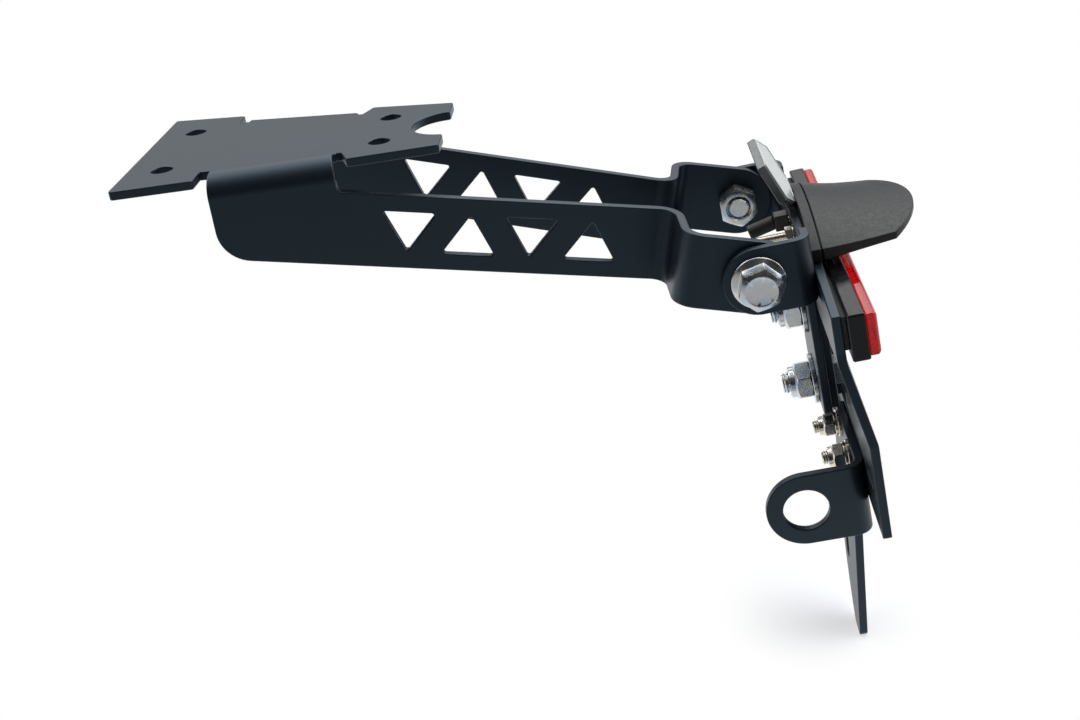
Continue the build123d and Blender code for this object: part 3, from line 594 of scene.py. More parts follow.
def set_out_tree():
    """One fastener on every point, turned as the point's own attribute says."""
    tree, given = start_tree("set_out_fasteners", {
        "Fastener": "NodeSocketObject", "Finish": "NodeSocketMaterial",
    })
    turn = add_node(tree, "GeometryNodeInputNamedAttribute", {"Name": "turn"}, data_type="FLOAT_VECTOR")
    facing = add_node(tree, "FunctionNodeEulerToRotation", {0: turn.outputs["Attribute"]})
    source = add_node(tree, "GeometryNodeObjectInfo", {"Object": given["Fastener"]})
    copies = add_node(
        tree, "GeometryNodeInstanceOnPoints",
        {"Points": given["Geometry"], "Instance": source.outputs["Geometry"], "Rotation": facing.outputs[0]},
    )
    return end_tree(tree, copies.outputs["Instances"], given["Finish"])


def prism_tree():
    """Sheet of six-sided prisms in staggered rows on a thin plate, facing +Z."""
    tree, given = start_tree("reflex_prism_sheet", {
        "Width": "NodeSocketFloat", "Height": "NodeSocketFloat", "Pitch": "NodeSocketFloat",
        "Depth": "NodeSocketFloat", "Columns": "NodeSocketInt", "Rows": "NodeSocketInt",
        "Finish": "NodeSocketMaterial",
    })
    lattice = add_node(
        tree, "GeometryNodeMeshGrid",
        {"Size X": given["Width"], "Size Y": given["Height"], "Vertices X": given["Columns"],
         "Vertices Y": given["Rows"]},
    )
    known = {name: given[name] for name in ("Pitch", "Rows")}
    known["index"] = add_node(tree, "GeometryNodeInputIndex").outputs[0]
    # Each step names its result, its operation and the two values that it takes
    steps = (
        ("row", "MODULO", "index", "Rows"),
        ("odd", "MODULO", "row", 2.0),
        ("side", "SUBTRACT", "odd", 0.5),
        ("half", "MULTIPLY", "Pitch", 0.5),
        ("shift", "MULTIPLY", "side", "half"),
        ("reach", "DIVIDE", "Pitch", math.sqrt(3)),
    )
    for name, operation, first, second in steps:
        values = {0: known.get(first, first), 1: known.get(second, second)}
        known[name] = add_node(tree, "ShaderNodeMath", values, operation=operation).outputs[0]
    step = add_node(tree, "ShaderNodeCombineXYZ", {"X": known["shift"]}).outputs[0]
    staggered = add_node(
        tree, "GeometryNodeSetPosition", {"Geometry": lattice.outputs["Mesh"], "Offset": step},
    )
    prism = add_node(
        tree, "GeometryNodeMeshCone",
        {"Vertices": 6, "Radius Top": 0.0, "Radius Bottom": known["reach"], "Depth": given["Depth"]},
    )
    fit = add_node(
        tree, "GeometryNodeTransform", {"Geometry": prism.outputs["Mesh"], "Rotation": (0, 0, math.pi / 6)},
    )
    copies = add_node(
        tree, "GeometryNodeInstanceOnPoints",
        {"Points": staggered.outputs["Geometry"], "Instance": fit.outputs["Geometry"]},
    )
    return end_tree(tree, copies.outputs["Instances"], given["Finish"])


def points_mesh(places):
    """Mesh of bare points, each with the turn of its place."""
    mesh = bpy.data.meshes.new("places")
    mesh.from_pydata([place.to_translation() for place in places], [], [])
    turn = mesh.attributes.new("turn", "FLOAT_VECTOR", "POINT")
    for index, place in enumerate(places):
        turn.data[index].vector = place.to_euler()
    return mesh


def set_out(name, source, places, finish):
    """Piece with a copy of the source mesh on every place."""
    source.shade_smooth()
    source.set_sharp_from_angle(angle=SHARP_ANGLE)
    pattern = bpy.data.objects.new("pattern", source)
    mesh = grow(set_out_tree(), points_mesh(places), Fastener=pattern, Finish=finish)
    bpy.data.objects.remove(pattern)
    return new_piece(name, mesh, finish)


def set_out_stack(body, rows):
    """Set out a fastener's kinds of piece, each with its node, source mesh, places, finish and slot."""
    for node, source, places, finish, slot in rows:
        attach(set_out(node + "_finish", source, places, finish), body, slot, node)


def threaded_rod(diameter, length, pitch, finish):
    """Mesh of a threaded rod along +Z, sizes in mm and the pitch in metres."""
    rings = round(length * MM / pitch * THREAD_RINGS)
    return grow(
        thread_tree(), bpy.data.meshes.new("rod"), Diameter=diameter * MM, Length=length * MM, Pitch=pitch,
        Depth=pitch * THREAD_DEPTH, Rings=rings, Finish=finish,
    )


def place_on(origin, x_axis, y_axis, spin=0):
    """Matrix of a place with its own Z square to the two axes, spun about Z by degrees."""
    z_axis = x_axis.cross(y_axis)
    columns = Matrix((x_axis, y_axis, z_axis)).transposed().to_4x4()
    return Matrix.Translation(origin) @ columns @ Matrix.Rotation(math.radians(spin), 4, "Z")


def on_holder(x, y, z):
    """Row-frame point of a place on the plate holder, given in millimetres."""
    return PIVOT + (BEHIND * x + ACROSS * y + UPWARD * z) * MM


def facing_rear(x, y, z, spin=0):
    """Place on the holder whose Z looks rearwards."""
    return place_on(on_holder(x, y, z), ACROSS, UPWARD, spin)


def facing_front(x, y, z, spin=0):
    """Place on the holder whose Z looks forwards."""
    return place_on(on_holder(x, y, z), -ACROSS, UPWARD, spin)


FLIP = Matrix.Rotation(math.pi, 4, "X")


# Turned forms of the fasteners, in millimetres


def washer_form(name, bore, outer, thickness, soft):
    """Flat washer standing on its seat."""
    loop = [
        (bore, soft), (bore + soft, 0), (outer - soft, 0), (outer, soft), (outer, thickness - soft),
        (outer - soft, thickness), (bore + soft, thickness), (bore, thickness - soft),
    ]
    return turned_mesh(name, lambda angle: loop, ROUND_ANGLES, ring=True)


def locknut_form(name, flats, bore, height, collar_radius, collar, mouth):
    """Nut with a rolled collar round its locking ring, standing on its seat."""
    lip = (collar_radius - mouth) * 0.5
    top = height + collar
    sink = 0.4
    shoulder = 0.2
    flare = 0.15
    neck = 0.25
    soft_in = 0.05
    soft_down = 0.12

    def profile(angle):
        """Bore, seat, hexagon, shoulder and rolled collar."""
        return [
            (bore, sink), (bore + sink, 0), *hex_rim(angle, flats, 0, height - shoulder),
            (collar_radius + flare, height), (collar_radius, height + neck), (collar_radius, top - lip),
            (collar_radius - lip * 0.3, top - lip * 0.35), (mouth + lip * 0.7, top),
            (mouth + soft_in, top - soft_down), (mouth, top - lip), (mouth, height), (bore, height),
        ]

    return turned_mesh(name, profile, HEX_ANGLES, ring=True)


def ring_form(name, bore, outer, depth):
    """Nylon locking ring with a rounded face."""
    middle = (bore + outer) / 2
    soft = 0.1
    # Radius of each point on the face, and the share of the depth that it reaches
    face = ((outer, 0.7), (outer - soft, 0.82), (middle, 0.9), (bore + soft, 0.8), (bore, 0.65))
    loop = [(bore, 0), (outer, 0), *((radius, depth * share) for radius, share in face)]
    return turned_mesh(name, lambda angle: loop, ROUND_ANGLES, ring=True)


def nut_form(name, flats, bore, height, mouth):
    """Plain nut, chamfered on both ends, with countersunk thread mouths."""

    def profile(angle):
        """Bore with its mouths, then the hexagon."""
        sink = mouth - bore
        rim = hex_rim(angle, flats, 0, height)
        return [(bore, sink), (mouth, 0), *rim, (mouth, height), (bore, height - sink)]

    return turned_mesh(name, profile, HEX_ANGLES, ring=True)


def flange_head_form(name, flats, height, flange_radius):
    """Flanged bolt head on its seat: a coned flange, a chamfered hexagon and a shallow dished top."""

    def profile(angle):
        """Seat, flange edge, cone, hexagon and dish."""
        rim = hex_rim(angle, flats, FLANGE_HEX_FOOT, height, both=False, crown=FLANGE_CROWN)
        side = rim[0][0]
        top = rim[-1][0]
        edge = [(flange_radius + out, up) for out, up in FLANGE_RIM]
        hollow = [(side + out, up) for out, up in FLANGE_HOLLOW]
        dish = [(top + out, height + up) for out, up in DISH_EDGE]
        floor = height - DISH_DEPTH
        return [(0, 0), *edge, *hollow, *rim, *dish, (top * DISH_FLOOR, floor), (0, floor)]

    return turned_mesh(name, profile, HEX_ANGLES)


def hex_head_form(name, flats, height):
    """Plain hexagon head with a washer face under it."""

    def profile(angle):
        """Seat, washer face, hexagon and flat top."""
        rim = hex_rim(angle, flats, WASHER_FACE_TOP, height, both=False)
        face = [(flats / 2 + out, up) for out, up in WASHER_FACE]
        return [(0, 0), *face, *rim, (0, height)]

    return turned_mesh(name, profile, HEX_ANGLES)


def sunk_head_form(name, head_radius, shank_radius, key_flats, key_depth):
    """Countersunk head below the origin, with a hexagon socket."""
    sink = head_radius - shank_radius
    edge = 0.25
    face = 0.05
    soft_key = 0.2
    soft_rim = 0.3

    def profile(angle):
        """Socket floor, socket wall, face, cone and end."""
        key = hex_radius(angle, key_flats)
        return [
            (0, -key_depth), (key, -key_depth), (key, -edge), (key + soft_key, -face),
            (head_radius - soft_rim, -face), (head_radius, -edge), (shank_radius, -sink), (0, -sink),
        ]

    return turned_mesh(name, profile, HEX_ANGLES)


class FoldedSheets(bpy.types.Operator):
    """Coat the four folded steel sheets and round their edges."""

    bl_idname = "tail_tidy.folded_sheets"
    bl_label = "Folded sheets"

    def execute(self, context):
        """Dress the top bracket and the three sheets of the plate holder."""
        coat = powder_coat(context.scene.tidy_colours)
        edge = context.scene.tidy_sizes.sheet_edge
        dress("main_bracket", "bracket", "black_powder_coat", coat, edge)
        for node in ("hinge_bracket", "plate_bracket", "signal_bracket"):
            dress(node, "holder", "black_powder_coat", coat, edge)
        return {"FINISHED"}


class PivotFasteners(bpy.types.Operator):
    """Make the flanged pivot bolts and their nuts."""

    bl_idname = "tail_tidy.pivot_fasteners"
    bl_label = "Pivot fasteners"

    FLATS = 13.0
    HEAD = 8.0
    FLANGE_RADIUS = 9.0
    SHANK = 7.9
    NUT = 7.5
    MOUTH = 4.75
    HEAD_SPIN = 12

    def execute(self, context):
        """Set out a bolt outside each ear and a nut inside each arm."""
        zinc = zinc_plate(context.scene.tidy_colours)
        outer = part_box("pivot_bolts")[1].y - self.HEAD * MM
        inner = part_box("pivot_nuts")[1].y
        end = inner - self.NUT * MM
        length = (outer - end) / MM
        head = flange_head_form("flange_head", self.FLATS, self.HEAD, self.FLANGE_RADIUS)
        rod = threaded_rod(self.SHANK, length, context.scene.tidy_sizes.pitch_m8, zinc)
        bolt = joined("pivot_bolt", [(head, Matrix()), (rod, FLIP)])
        near, far = -ACROSS, ACROSS
        heads = [
            place_on(PIVOT + near * outer, BEHIND, UPWARD, self.HEAD_SPIN),
            place_on(PIVOT + far * outer, -BEHIND, UPWARD, self.HEAD_SPIN),
        ]
        nuts = [
            place_on(PIVOT + near * end, -BEHIND, UPWARD, FLAT_FIRST),
            place_on(PIVOT + far * end, BEHIND, UPWARD, FLAT_FIRST),
        ]
        plain_nut = nut_form("nut", self.FLATS, self.SHANK / 2, self.NUT, self.MOUTH)
        nut = joined("pivot_nut", [(plain_nut, FLIP)])
        set_out_stack("bracket", (
            ("pivot_bolts", bolt, heads, zinc, "zinc"),
            ("pivot_nuts", nut, nuts, zinc, "zinc"),
        ))
        return {"FINISHED"}


class ClampedStack:
    """Bolts put in from behind, each with a washer, a locking nut and its nylon ring in front.

    Sizes are millimetres, and spots are (across, drop) from the pivot. Zero stands for what a bolt lacks.
    """

    SPRING = 0.0
    KEY_DEPTH = 0.0
    KEY_FLOOR = 0.0

    def places(self, x, face=facing_front, spin=0):
        """Place of one kind of piece on every spot, at a distance behind the pivot."""
        return [face(x, across, -drop, spin) for across, drop in self.SPOTS]

    def clamp(self, kind, head, metal, slot, pitch, nylon):
        """Set out the bolts with this head, and all that is on them."""
        seat = self.FRONT - self.WASHER - self.SPRING
        crown = seat - self.NUT
        length = self.REAR - crown + self.COLLAR + self.TIP - self.KEY_DEPTH
        bore = self.SHANK / 2
        rod = threaded_rod(self.SHANK, length, pitch, metal)
        lowered = Matrix.Translation((0, 0, -(self.KEY_DEPTH + self.KEY_FLOOR) * MM)) @ FLIP
        bolt = joined(kind + "_bolt", [(head, Matrix()), (rod, lowered)])
        washer = washer_form(
            "washer", bore + self.WASHER_GAP, self.WASHER_RADIUS, self.WASHER, self.WASHER_SOFT,
        )
        nut = locknut_form(
            "nut", self.FLATS, bore, self.NUT, self.COLLAR_RADIUS, self.COLLAR, self.MOUTH,
        )
        ring = ring_form("ring", bore, self.MOUTH, self.COLLAR)
        set_out_stack("holder", (
            (kind + "_bolts", bolt, self.places(self.REAR, facing_rear), metal, slot),
            (kind + "_washers", washer, self.places(self.FRONT), metal, slot),
            (kind + "_nuts", nut, self.places(seat, spin=FLAT_FIRST), metal, slot),
            (kind + "_nut_rings", ring, self.places(crown), nylon, "nylon"),
        ))


class PlateFasteners(ClampedStack, bpy.types.Operator):
    """Make the two plate bolts with their washers, locking nuts and nylon rings."""

    bl_idname = "tail_tidy.plate_fasteners"
    bl_label = "Plate fasteners"

    SPOTS = ((0.0, 31.0), (0.0, 60.0))
    FRONT = 15.4
    REAR = 21.4
    FLATS = 13.0
    HEAD = 5.3
    SHANK = 7.9
    WASHER = 1.6
    WASHER_RADIUS = 9.25
    WASHER_GAP = 0.25
    WASHER_SOFT = 0.2
    NUT = 5.9
    COLLAR = 2.1
    COLLAR_RADIUS = 5.7
    MOUTH = 4.7
    TIP = 2.4

    def execute(self, context):
        """Set out each stack along the tongue."""
        colours = context.scene.tidy_colours
        # Pale nylon: a soft, slightly waxy sheen
        nylon = moulded_plastic("nylon_locking_ring", colours.nylon, roughness=0.4, grain=0.5, depth=0.02)
        head = hex_head_form("head", self.FLATS, self.HEAD)
        pitch = context.scene.tidy_sizes.pitch_m8
        self.clamp("plate", head, zinc_plate(colours), "zinc", pitch, nylon)
        return {"FINISHED"}


class SignalFasteners(ClampedStack, bpy.types.Operator):
    """Make the two countersunk signal bracket bolts with their washers, locking nuts and rings."""

    bl_idname = "tail_tidy.signal_fasteners"
    bl_label = "Signal bracket fasteners"

    SPOTS = ((-33.0, 74.0), (-11.0, 74.0))
    FRONT = 20.7
    REAR = 26.7
    HEAD_RADIUS = 5.0
    SHANK = 4.94
    KEY = 3.0
    KEY_DEPTH = 2.0
    KEY_FLOOR = 0.1
    WASHER = 1.0
    WASHER_RADIUS = 5.0
    WASHER_GAP = 0.2
    WASHER_SOFT = 0.12
    SPRING = 1.2
    FLATS = 8.0
    NUT = 4.0
    COLLAR = 1.4
    COLLAR_RADIUS = 3.5
    MOUTH = 3.0
    TIP = 2.0

    def execute(self, context):
        """Set out each stack beside the tongue, and dress the spring washers under its nuts."""
        colours = context.scene.tidy_colours
        sizes = context.scene.tidy_sizes
        steel = bright_stainless(colours)
        # Pale nylon: a soft, slightly waxy sheen
        nylon = moulded_plastic(
            "nylon_locking_ring_small", colours.nylon, roughness=0.4, grain=0.5, depth=0.02,
        )
        head = sunk_head_form("head", self.HEAD_RADIUS, self.SHANK / 2, self.KEY, self.KEY_DEPTH)
        self.clamp("signal", head, steel, "stainless", sizes.pitch_m5, nylon)
        dress("signal_spring_washers", "holder", "stainless", steel, sizes.fine_edge, steps=2)
        return {"FINISHED"}


class Lamp(bpy.types.Operator):
    """Finish the lamp's housing, lens, board and diodes."""

    bl_idname = "tail_tidy.lamp"
    bl_label = "Lamp"

    def execute(self, context):
        """Dress the shells and give the inner pieces their finishes."""
        colours = context.scene.tidy_colours
        sizes = context.scene.tidy_sizes
        # Spark-eroded ABS: near black, greyed by a broad sheen that its grain breaks up
        housing = moulded_plastic(
            "grained_abs_lamp_housing", colours.lamp, roughness=0.46, grain=0.42, depth=0.06, index=1.33,
        )
        for node in ("lamp_base", "lamp_hood"):
            dress(node, "holder", "lamp_plastic", housing, sizes.moulded_edge)
        # Polycarbonate: clear, with a slight haze over the diodes
        lens = clear_plastic("clear_polycarbonate_lens", colours.clear, roughness=0.12, clarity=1.0)
        dress("lamp_lens", "holder", "clear_plastic", lens, sizes.fine_edge, steps=2)
        # Solder mask and phosphor: smooth, white and pale yellow
        inner = {
            "lamp_board": moulded_plastic(
                "white_solder_mask", colours.board, roughness=0.35, grain=0.6, depth=0.01,
            ),
            "lamp_leds": moulded_plastic(
                "diode_phosphor", colours.diode, roughness=0.3, grain=0.4, depth=0.01,
            ),
        }
        for node, finish in inner.items():
            frame["nodes"][node].data.materials.clear()
            frame["nodes"][node].data.materials.append(finish)
        return {"FINISHED"}


class LampFasteners(bpy.types.Operator):
    """Make the lamp's stud with its washer and nut."""

    bl_idname = "tail_tidy.lamp_fasteners"
    bl_label = "Lamp fasteners"

    OFFSET = -11.0
    HEIGHT = 1.6
    FRONT = 15.4
    SHEET = 3.0
    REACH = 14.0
    STUD = 2.95
    FLATS = 5.5
    NUT = 2.4
    MOUTH = 1.8
    WASHER = 0.5
    WASHER_RADIUS = 3.5
    WASHER_GAP = 0.2
    WASHER_SOFT = 0.12

    def execute(self, context):
        """Set out the stud through the wall."""
        steel = bright_stainless(context.scene.tidy_colours)
        pitch = context.scene.tidy_sizes.pitch_m3
        stud = threaded_rod(self.STUD, self.SHEET + self.REACH, pitch, steel)
        washer = washer_form(
            "washer", self.STUD / 2 + self.WASHER_GAP, self.WASHER_RADIUS, self.WASHER, self.WASHER_SOFT,
        )
        nut = nut_form("nut", self.FLATS, self.STUD / 2, self.NUT, self.MOUTH)
        pieces = (
            ("lamp_stud", stud, self.FRONT + self.SHEET),
            ("lamp_washer", washer, self.FRONT),
            ("lamp_nut", nut, self.FRONT - self.WASHER),
        )
        set_out_stack("holder", [
            (node, source, [facing_front(x, self.OFFSET, self.HEIGHT)], steel, "stainless")
            for node, source, x in pieces
        ])
        return {"FINISHED"}


class CableEntry(bpy.types.Operator):
    """Finish the lamp's cable block, ferrule and sleeve."""

    bl_idname = "tail_tidy.cable_entry"
    bl_label = "Cable entry"

    def execute(self, context):
        """Dress the moulded pieces and the metal tube between them."""
        colours = context.scene.tidy_colours
        edge = context.scene.tidy_sizes.moulded_edge
        # Filled plastic and rubber: satin on the block, dull on the sleeve
        block = moulded_plastic(
            "moulded_cable_block", colours.moulding, roughness=0.4, grain=0.5, depth=0.02,
        )
        sleeve = moulded_plastic("soft_cable_rubber", colours.rubber, roughness=0.6, grain=0.35, depth=0.03)
        steel = bright_stainless(colours)
        dress("cable_block", "holder", "cable_plastic", block, edge)
        dress("cable_sleeve", "holder", "cable_rubber", sleeve, edge)
        dress("cable_ferrule", "holder", "stainless", steel, context.scene.tidy_sizes.fine_edge, steps=2)
        return {"FINISHED"}


class Badge(bpy.types.Operator):
    """Finish the hexagonal badge, with a bare silver face inside a raised rim."""

    bl_idname = "tail_tidy.badge"
    bl_label = "Badge"

    CENTRE_X = 13.9
    CENTRE_HEIGHT = 21.1
    TILT = 22.4
    TURN = 4.8
    ROLL = 4.2
    FACE_CORNER = 13.3
    FACE = 0.5
    RIM = 0.7
    SUNK = 0.16
    SOFT = 0.12

    def execute(self, context):
        """Dress the block and make the face plate."""
        colours = context.scene.tidy_colours
        sizes = context.scene.tidy_sizes
        # Polished mould: grey plastic with a clear gloss along its edges
        block = moulded_plastic(
            "gloss_abs_badge_block", colours.badge, roughness=0.2, grain=0.5, depth=0.006,
        )
        dress("badge_block", "holder", "badge_plastic", block, sizes.moulded_edge)
        flats = self.FACE_CORNER * math.sqrt(3)

        def profile(angle):
            """Back, side, raised rim and sunk field."""
            side = hex_radius(angle, flats)
            return [
                (0, 0), (side, 0), (side, self.FACE - self.SOFT), (side - self.SOFT, self.FACE),
                (side - self.RIM, self.FACE), (side - self.RIM - self.SOFT, self.FACE - self.SUNK),
                (0, self.FACE - self.SUNK),
            ]

        plate = turned_mesh("badge_face", profile, HEX_ANGLES)
        lean = math.radians(self.TILT)
        turn = math.radians(self.TURN)
        leaning = BEHIND * math.cos(lean) + UPWARD * math.sin(lean)
        side = ACROSS * math.cos(turn) + leaning * math.sin(turn)
        back = leaning * math.cos(turn) - ACROSS * math.sin(turn)
        seat = on_holder(self.CENTRE_X, 0, self.CENTRE_HEIGHT) - back * self.FACE * MM
        plate.transform(place_on(seat, side, back.cross(side), FLAT_FIRST - self.ROLL))
        face = new_piece("badge_face_finish", plate, brushed_badge(colours))
        attach(face, "holder", "badge_metal", "badge_face")
        dress("badge_pin", "holder", "stainless", bright_stainless(colours), sizes.fine_edge, steps=2)
        return {"FINISHED"}


class Reflector(bpy.types.Operator):
    """Finish the reflector's body, tape and red lens, with a sheet of reflex prisms in the lens."""

    bl_idname = "tail_tidy.reflector"
    bl_label = "Reflector"

    LENS_FRONT = 28.6
    LENS_HALF = 68.8
    LENS_TOP = 5.0
    LENS_HEIGHT = 14.4
    MARGIN = 1.0
    BASE = 0.5
    END_DEPTH = 0.5
    END_GAP = 0.15
    END_FOOT = 0.4

    def execute(self, context):
        """Dress the shells and grow the prisms inside the lens."""
        colours = context.scene.tidy_colours
        sizes = context.scene.tidy_sizes
        # Polished mould: deep black that mirrors the floor softly
        body = moulded_plastic(
            "gloss_abs_reflector_body", colours.reflector, roughness=0.17, grain=0.6, depth=0.006,
            index=1.33,
        )
        dress("reflector_body", "holder", "reflector_plastic", body, sizes.fine_edge, steps=2)
        dress("reflector_tape", "holder", "foam_tape", foam(colours), sizes.fine_edge, steps=2)
        # Tinted acrylic: wet-looking red, with the prisms seen through it
        lens = clear_plastic("red_acrylic_lens", colours.red, roughness=0.04, clarity=0.7)
        dress("reflector_lens", "holder", "red_reflex", lens, sizes.moulded_edge)
        pitch = sizes.prism_pitch
        row_step = pitch * math.sqrt(3) / 2
        columns = int((2 * self.LENS_HALF - 2 * self.MARGIN) * MM / pitch) - 1
        rows = int((self.LENS_HEIGHT - self.MARGIN) * MM / row_step)
        # Painted glow: this finish emits light in place of the light that the prisms throw back
        glow = prisms_with_painted_glow(colours)
        prisms = grow(
            prism_tree(), bpy.data.meshes.new("prisms"), Width=(columns - 1) * pitch,
            Height=(rows - 1) * row_step, Pitch=pitch, Depth=sizes.prism_depth, Columns=columns, Rows=rows,
            Finish=glow,
        )
        middle = -self.LENS_TOP - self.LENS_HEIGHT / 2
        seat = facing_rear(self.LENS_FRONT + self.BASE, 0, middle)
        ends = [(self.end_comb(sizes, side), seat) for side in (-1, 1)]
        sheet = joined("reflector_prisms", [(prisms, seat), *ends])
        attach(new_piece("reflector_prisms", sheet, glow), "holder", "red_reflex")
        return {"FINISHED"}

    def end_comb(self, sizes, side):
        """Toothed strip that closes the prisms at one end of the lens."""
        half = (self.LENS_HEIGHT - self.MARGIN) * MM / 2
        count = round(2 * half / sizes.prism_pitch)
        pitch = 2 * half / count
        low = -self.END_FOOT * MM
        outline = [(-half, low), (half, low)]
        for tooth in range(count):
            top = half - tooth * pitch
            outline += [(top, 0), (top - pitch / 2, sizes.prism_depth)]
        outline.append((-half, 0))
        outer = side * (self.LENS_HALF - self.END_GAP) * MM
        inner = outer - side * self.END_DEPTH * MM
        form = bmesh.new()
        face = form.faces.new([form.verts.new((outer, height, depth)) for height, depth in outline])
        grown = bmesh.ops.extrude_face_region(form, geom=[face])["geom"]
        moved = [part for part in grown if isinstance(part, bmesh.types.BMVert)]
        bmesh.ops.translate(form, verts=moved, vec=(inner - outer, 0, 0))
        bmesh.ops.recalc_face_normals(form, faces=form.faces)
        mesh = bpy.data.meshes.new("end_comb")
        form.to_mesh(mesh)
        form.free()
        return mesh


class Stage(bpy.types.Operator):
    """Set up the white floor, the studio light and the photograph's camera."""

    bl_idname = "tail_tidy.stage"
    bl_label = "Stage"

    CAMERA = (0.12119, -0.44702, 0.12478)
    RIGHT = Vector((0.99232, 0.03845, -0.11755))
    UP = Vector((0.08863, 0.44181, 0.89272))
    LENS = 45.355
    SENSOR = 36.0
    FLOOR_HALF = 4.0
    WHITE = (1, 1, 1, 1)

    # Floor to the eye: painted shadow of grey paper round the foot, with the real shadow on it, then white
    SHADOW_AT = (0.178, 0.003)
    SHADOW_REACH = (0.005, 0.045)
    SHADOW_GLOW = (0.3, 1.0)

    # Floor in reflections: dimmer towards the camera
    MIRROR_DEPTH = (-0.35, 0.1)
    MIRROR_GLOW = (0.5, 1.15)

    # Studio: dim behind the camera and near the horizon, by the direction's Y and Z
    STUDIO_Y = (-0.6, 0.45)
    STUDIO_Y_LEVEL = (0.06, 1.75)
    STUDIO_Z = (0.24, 0.44)
    STUDIO_Z_LEVEL = (0.14, 1.0)

    # Name, place, width and height in metres, and power in watts
    SOFT_BOXES = (
        ("soft_box_overhead", (0.5, 0.3, 0.85), 1.2, 0.8, 8.0),
        ("soft_box_front_end", (-0.62, 0.2, 0.95), 0.6, 0.5, 4.0),
        ("soft_box_rear_end", (1.1, 0.2, 0.35), 0.9, 0.5, 2.6),
    )

    def execute(self, context):
        """Make the floor, world, lamps and camera."""
        scene = context.scene
        scene.view_settings.view_transform = "Standard"
        self.floor(scene)
        self.world(scene)
        self.lamps(scene)
        camera = bpy.data.objects.new("photo_camera", bpy.data.cameras.new("photo_camera"))
        camera.data.sensor_width = self.SENSOR
        camera.data.lens = self.LENS
        camera.data.clip_start = 0.01
        camera.matrix_world = place_on(Vector(self.CAMERA), self.RIGHT, self.UP)
        scene.collection.objects.link(camera)
        scene.camera = camera
        return {"FINISHED"}

    def floor(self, scene):
        """White glowing paper with a painted shadow round the foot over the real one, dim to gloss in front.
        """
        half = self.FLOOR_HALF
        low = cad_box[0].z
        corners = [(-half, -half, low), (half, -half, low), (half, half, low), (-half, half, low)]
        mesh = bpy.data.meshes.new("floor")
        mesh.from_pydata(corners, [], [(0, 1, 2, 3)])
        material, tree, place = start_material("white_paper_floor")
        paper = add_node(tree, "ShaderNodeBsdfDiffuse", {"Color": opaque(scene.tidy_colours.floor)})
        glow = add_node(tree, "ShaderNodeEmission", {"Color": self.WHITE, "Strength": 1.0})
        path = add_node(tree, "ShaderNodeLightPath").outputs
        seen = add_node(
            tree, "ShaderNodeMath", {0: path["Is Camera Ray"], 1: path["Is Transmission Ray"]},
            operation="MAXIMUM",
        )
        spread = add_node(
            tree, "ShaderNodeVectorMath", {0: place, 1: (*self.SHADOW_AT, low)}, operation="DISTANCE",
        ).outputs["Value"]
        # Painted shadow: less white glow and more grey paper in a fixed patch round the foot
        painted_shadow_mask = add_node(
            tree, "ShaderNodeMapRange", between(spread, self.SHADOW_REACH, self.SHADOW_GLOW),
            interpolation_type="SMOOTHSTEP",
        )
        share = add_node(
            tree, "ShaderNodeMath", {0: seen.outputs[0], 1: painted_shadow_mask.outputs[0]}, operation="MULTIPLY",
        )
        both = add_node(
            tree, "ShaderNodeMixShader", {0: share.outputs[0], 1: paper.outputs[0], 2: glow.outputs[0]},
        )
        depth = add_node(tree, "ShaderNodeSeparateXYZ", {0: place}).outputs["Y"]
        fade = add_node(
            tree, "ShaderNodeMapRange", between(depth, self.MIRROR_DEPTH, self.MIRROR_GLOW),
        )
        mirrored = add_node(tree, "ShaderNodeEmission", {"Color": self.WHITE, "Strength": fade.outputs[0]})
        whole = add_node(
            tree, "ShaderNodeMixShader",
            {0: path["Is Glossy Ray"], 1: both.outputs[0], 2: mirrored.outputs[0]},
        )
        add_node(tree, "ShaderNodeOutputMaterial", {"Surface": whole.outputs[0]})
        mesh.materials.append(material)
        floor = bpy.data.objects.new("floor", mesh)
        scene.collection.objects.link(floor)

    def world(self, scene):
        """White studio that falls off towards the horizon and to a dim side behind the camera."""
        scene.world = bpy.data.worlds.new("studio")
        scene.world.use_nodes = True
        tree = scene.world.node_tree
        tree.nodes.clear()
        way = add_node(tree, "ShaderNodeTexCoord").outputs["Generated"]
        parts = add_node(tree, "ShaderNodeSeparateXYZ", {0: way}).outputs
        side = add_node(
            tree, "ShaderNodeMapRange", between(parts["Y"], self.STUDIO_Y, self.STUDIO_Y_LEVEL),
            interpolation_type="SMOOTHSTEP",
        ).outputs[0]
        height = add_node(
            tree, "ShaderNodeMapRange", between(parts["Z"], self.STUDIO_Z, self.STUDIO_Z_LEVEL),
        ).outputs[0]
        sky = add_node(tree, "ShaderNodeMath", {0: side, 1: height}, operation="MULTIPLY").outputs[0]
        path = add_node(tree, "ShaderNodeLightPath").outputs
        level = add_node(
            tree, "ShaderNodeMix", {0: path["Is Camera Ray"], 2: sky, 3: 1.0}, data_type="FLOAT",
        ).outputs[0]
        light = add_node(tree, "ShaderNodeBackground", {"Color": self.WHITE, "Strength": level})
        add_node(tree, "ShaderNodeOutputWorld", {"Surface": light.outputs[0]})

    def lamps(self, scene):
        """A broad soft box overhead, one high over the front end and one low behind the rear end."""
        for name, spot, width, height, power in self.SOFT_BOXES:
            data = bpy.data.lights.new(name, "AREA")
            data.shape = "RECTANGLE"
            data.size = width
            data.size_y = height
            data.energy = power
            lamp = bpy.data.objects.new(name, data)
            lamp.location = spot
            lamp.rotation_euler = (PIVOT - Vector(spot)).to_track_quat("-Z", "Y").to_euler()
            scene.collection.objects.link(lamp)


OPERATORS = (
    FoldedSheets, PivotFasteners, PlateFasteners, SignalFasteners, Lamp, LampFasteners, CableEntry, Badge,
    Reflector, Stage,
)


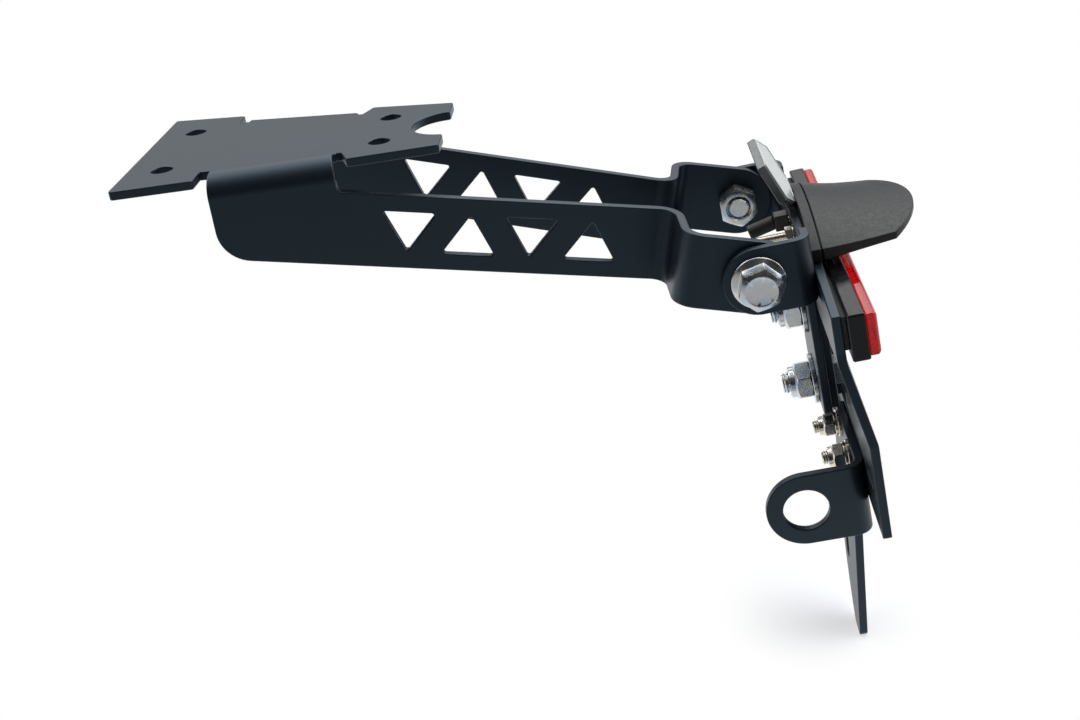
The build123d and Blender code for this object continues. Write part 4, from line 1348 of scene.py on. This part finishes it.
class TidyPanel(bpy.types.Panel):
    """Lists the tail tidy's finishes, sizes and steps."""

    bl_idname = "VIEW3D_PT_tail_tidy"
    bl_label = "Tail tidy"
    bl_space_type = "VIEW_3D"
    bl_region_type = "UI"
    bl_category = "Tail tidy"

    def draw(self, context):
        """Draw every setting and every operator."""
        for group in (context.scene.tidy_colours, context.scene.tidy_sizes):
            for name in group.__annotations__:
                self.layout.prop(group, name)
        for operator in OPERATORS:
            self.layout.operator(operator.bl_idname)


CLASSES = (TidyColours, TidySizes, *OPERATORS, TidyPanel)


def register():
    """Add the classes and the settings."""
    for entry in CLASSES:
        bpy.utils.register_class(entry)
    bpy.types.Scene.tidy_colours = bpy.props.PointerProperty(type=TidyColours)
    bpy.types.Scene.tidy_sizes = bpy.props.PointerProperty(type=TidySizes)


def unregister():
    """Remove the settings and the classes."""
    del bpy.types.Scene.tidy_sizes
    del bpy.types.Scene.tidy_colours
    for entry in reversed(CLASSES):
        bpy.utils.unregister_class(entry)


def main():
    """Register the classes and dress the whole part."""
    register()
    for operator in OPERATORS:
        group, step = operator.bl_idname.split(".")
        getattr(getattr(bpy.ops, group), step)()


if __name__ == "__main__":
    main()
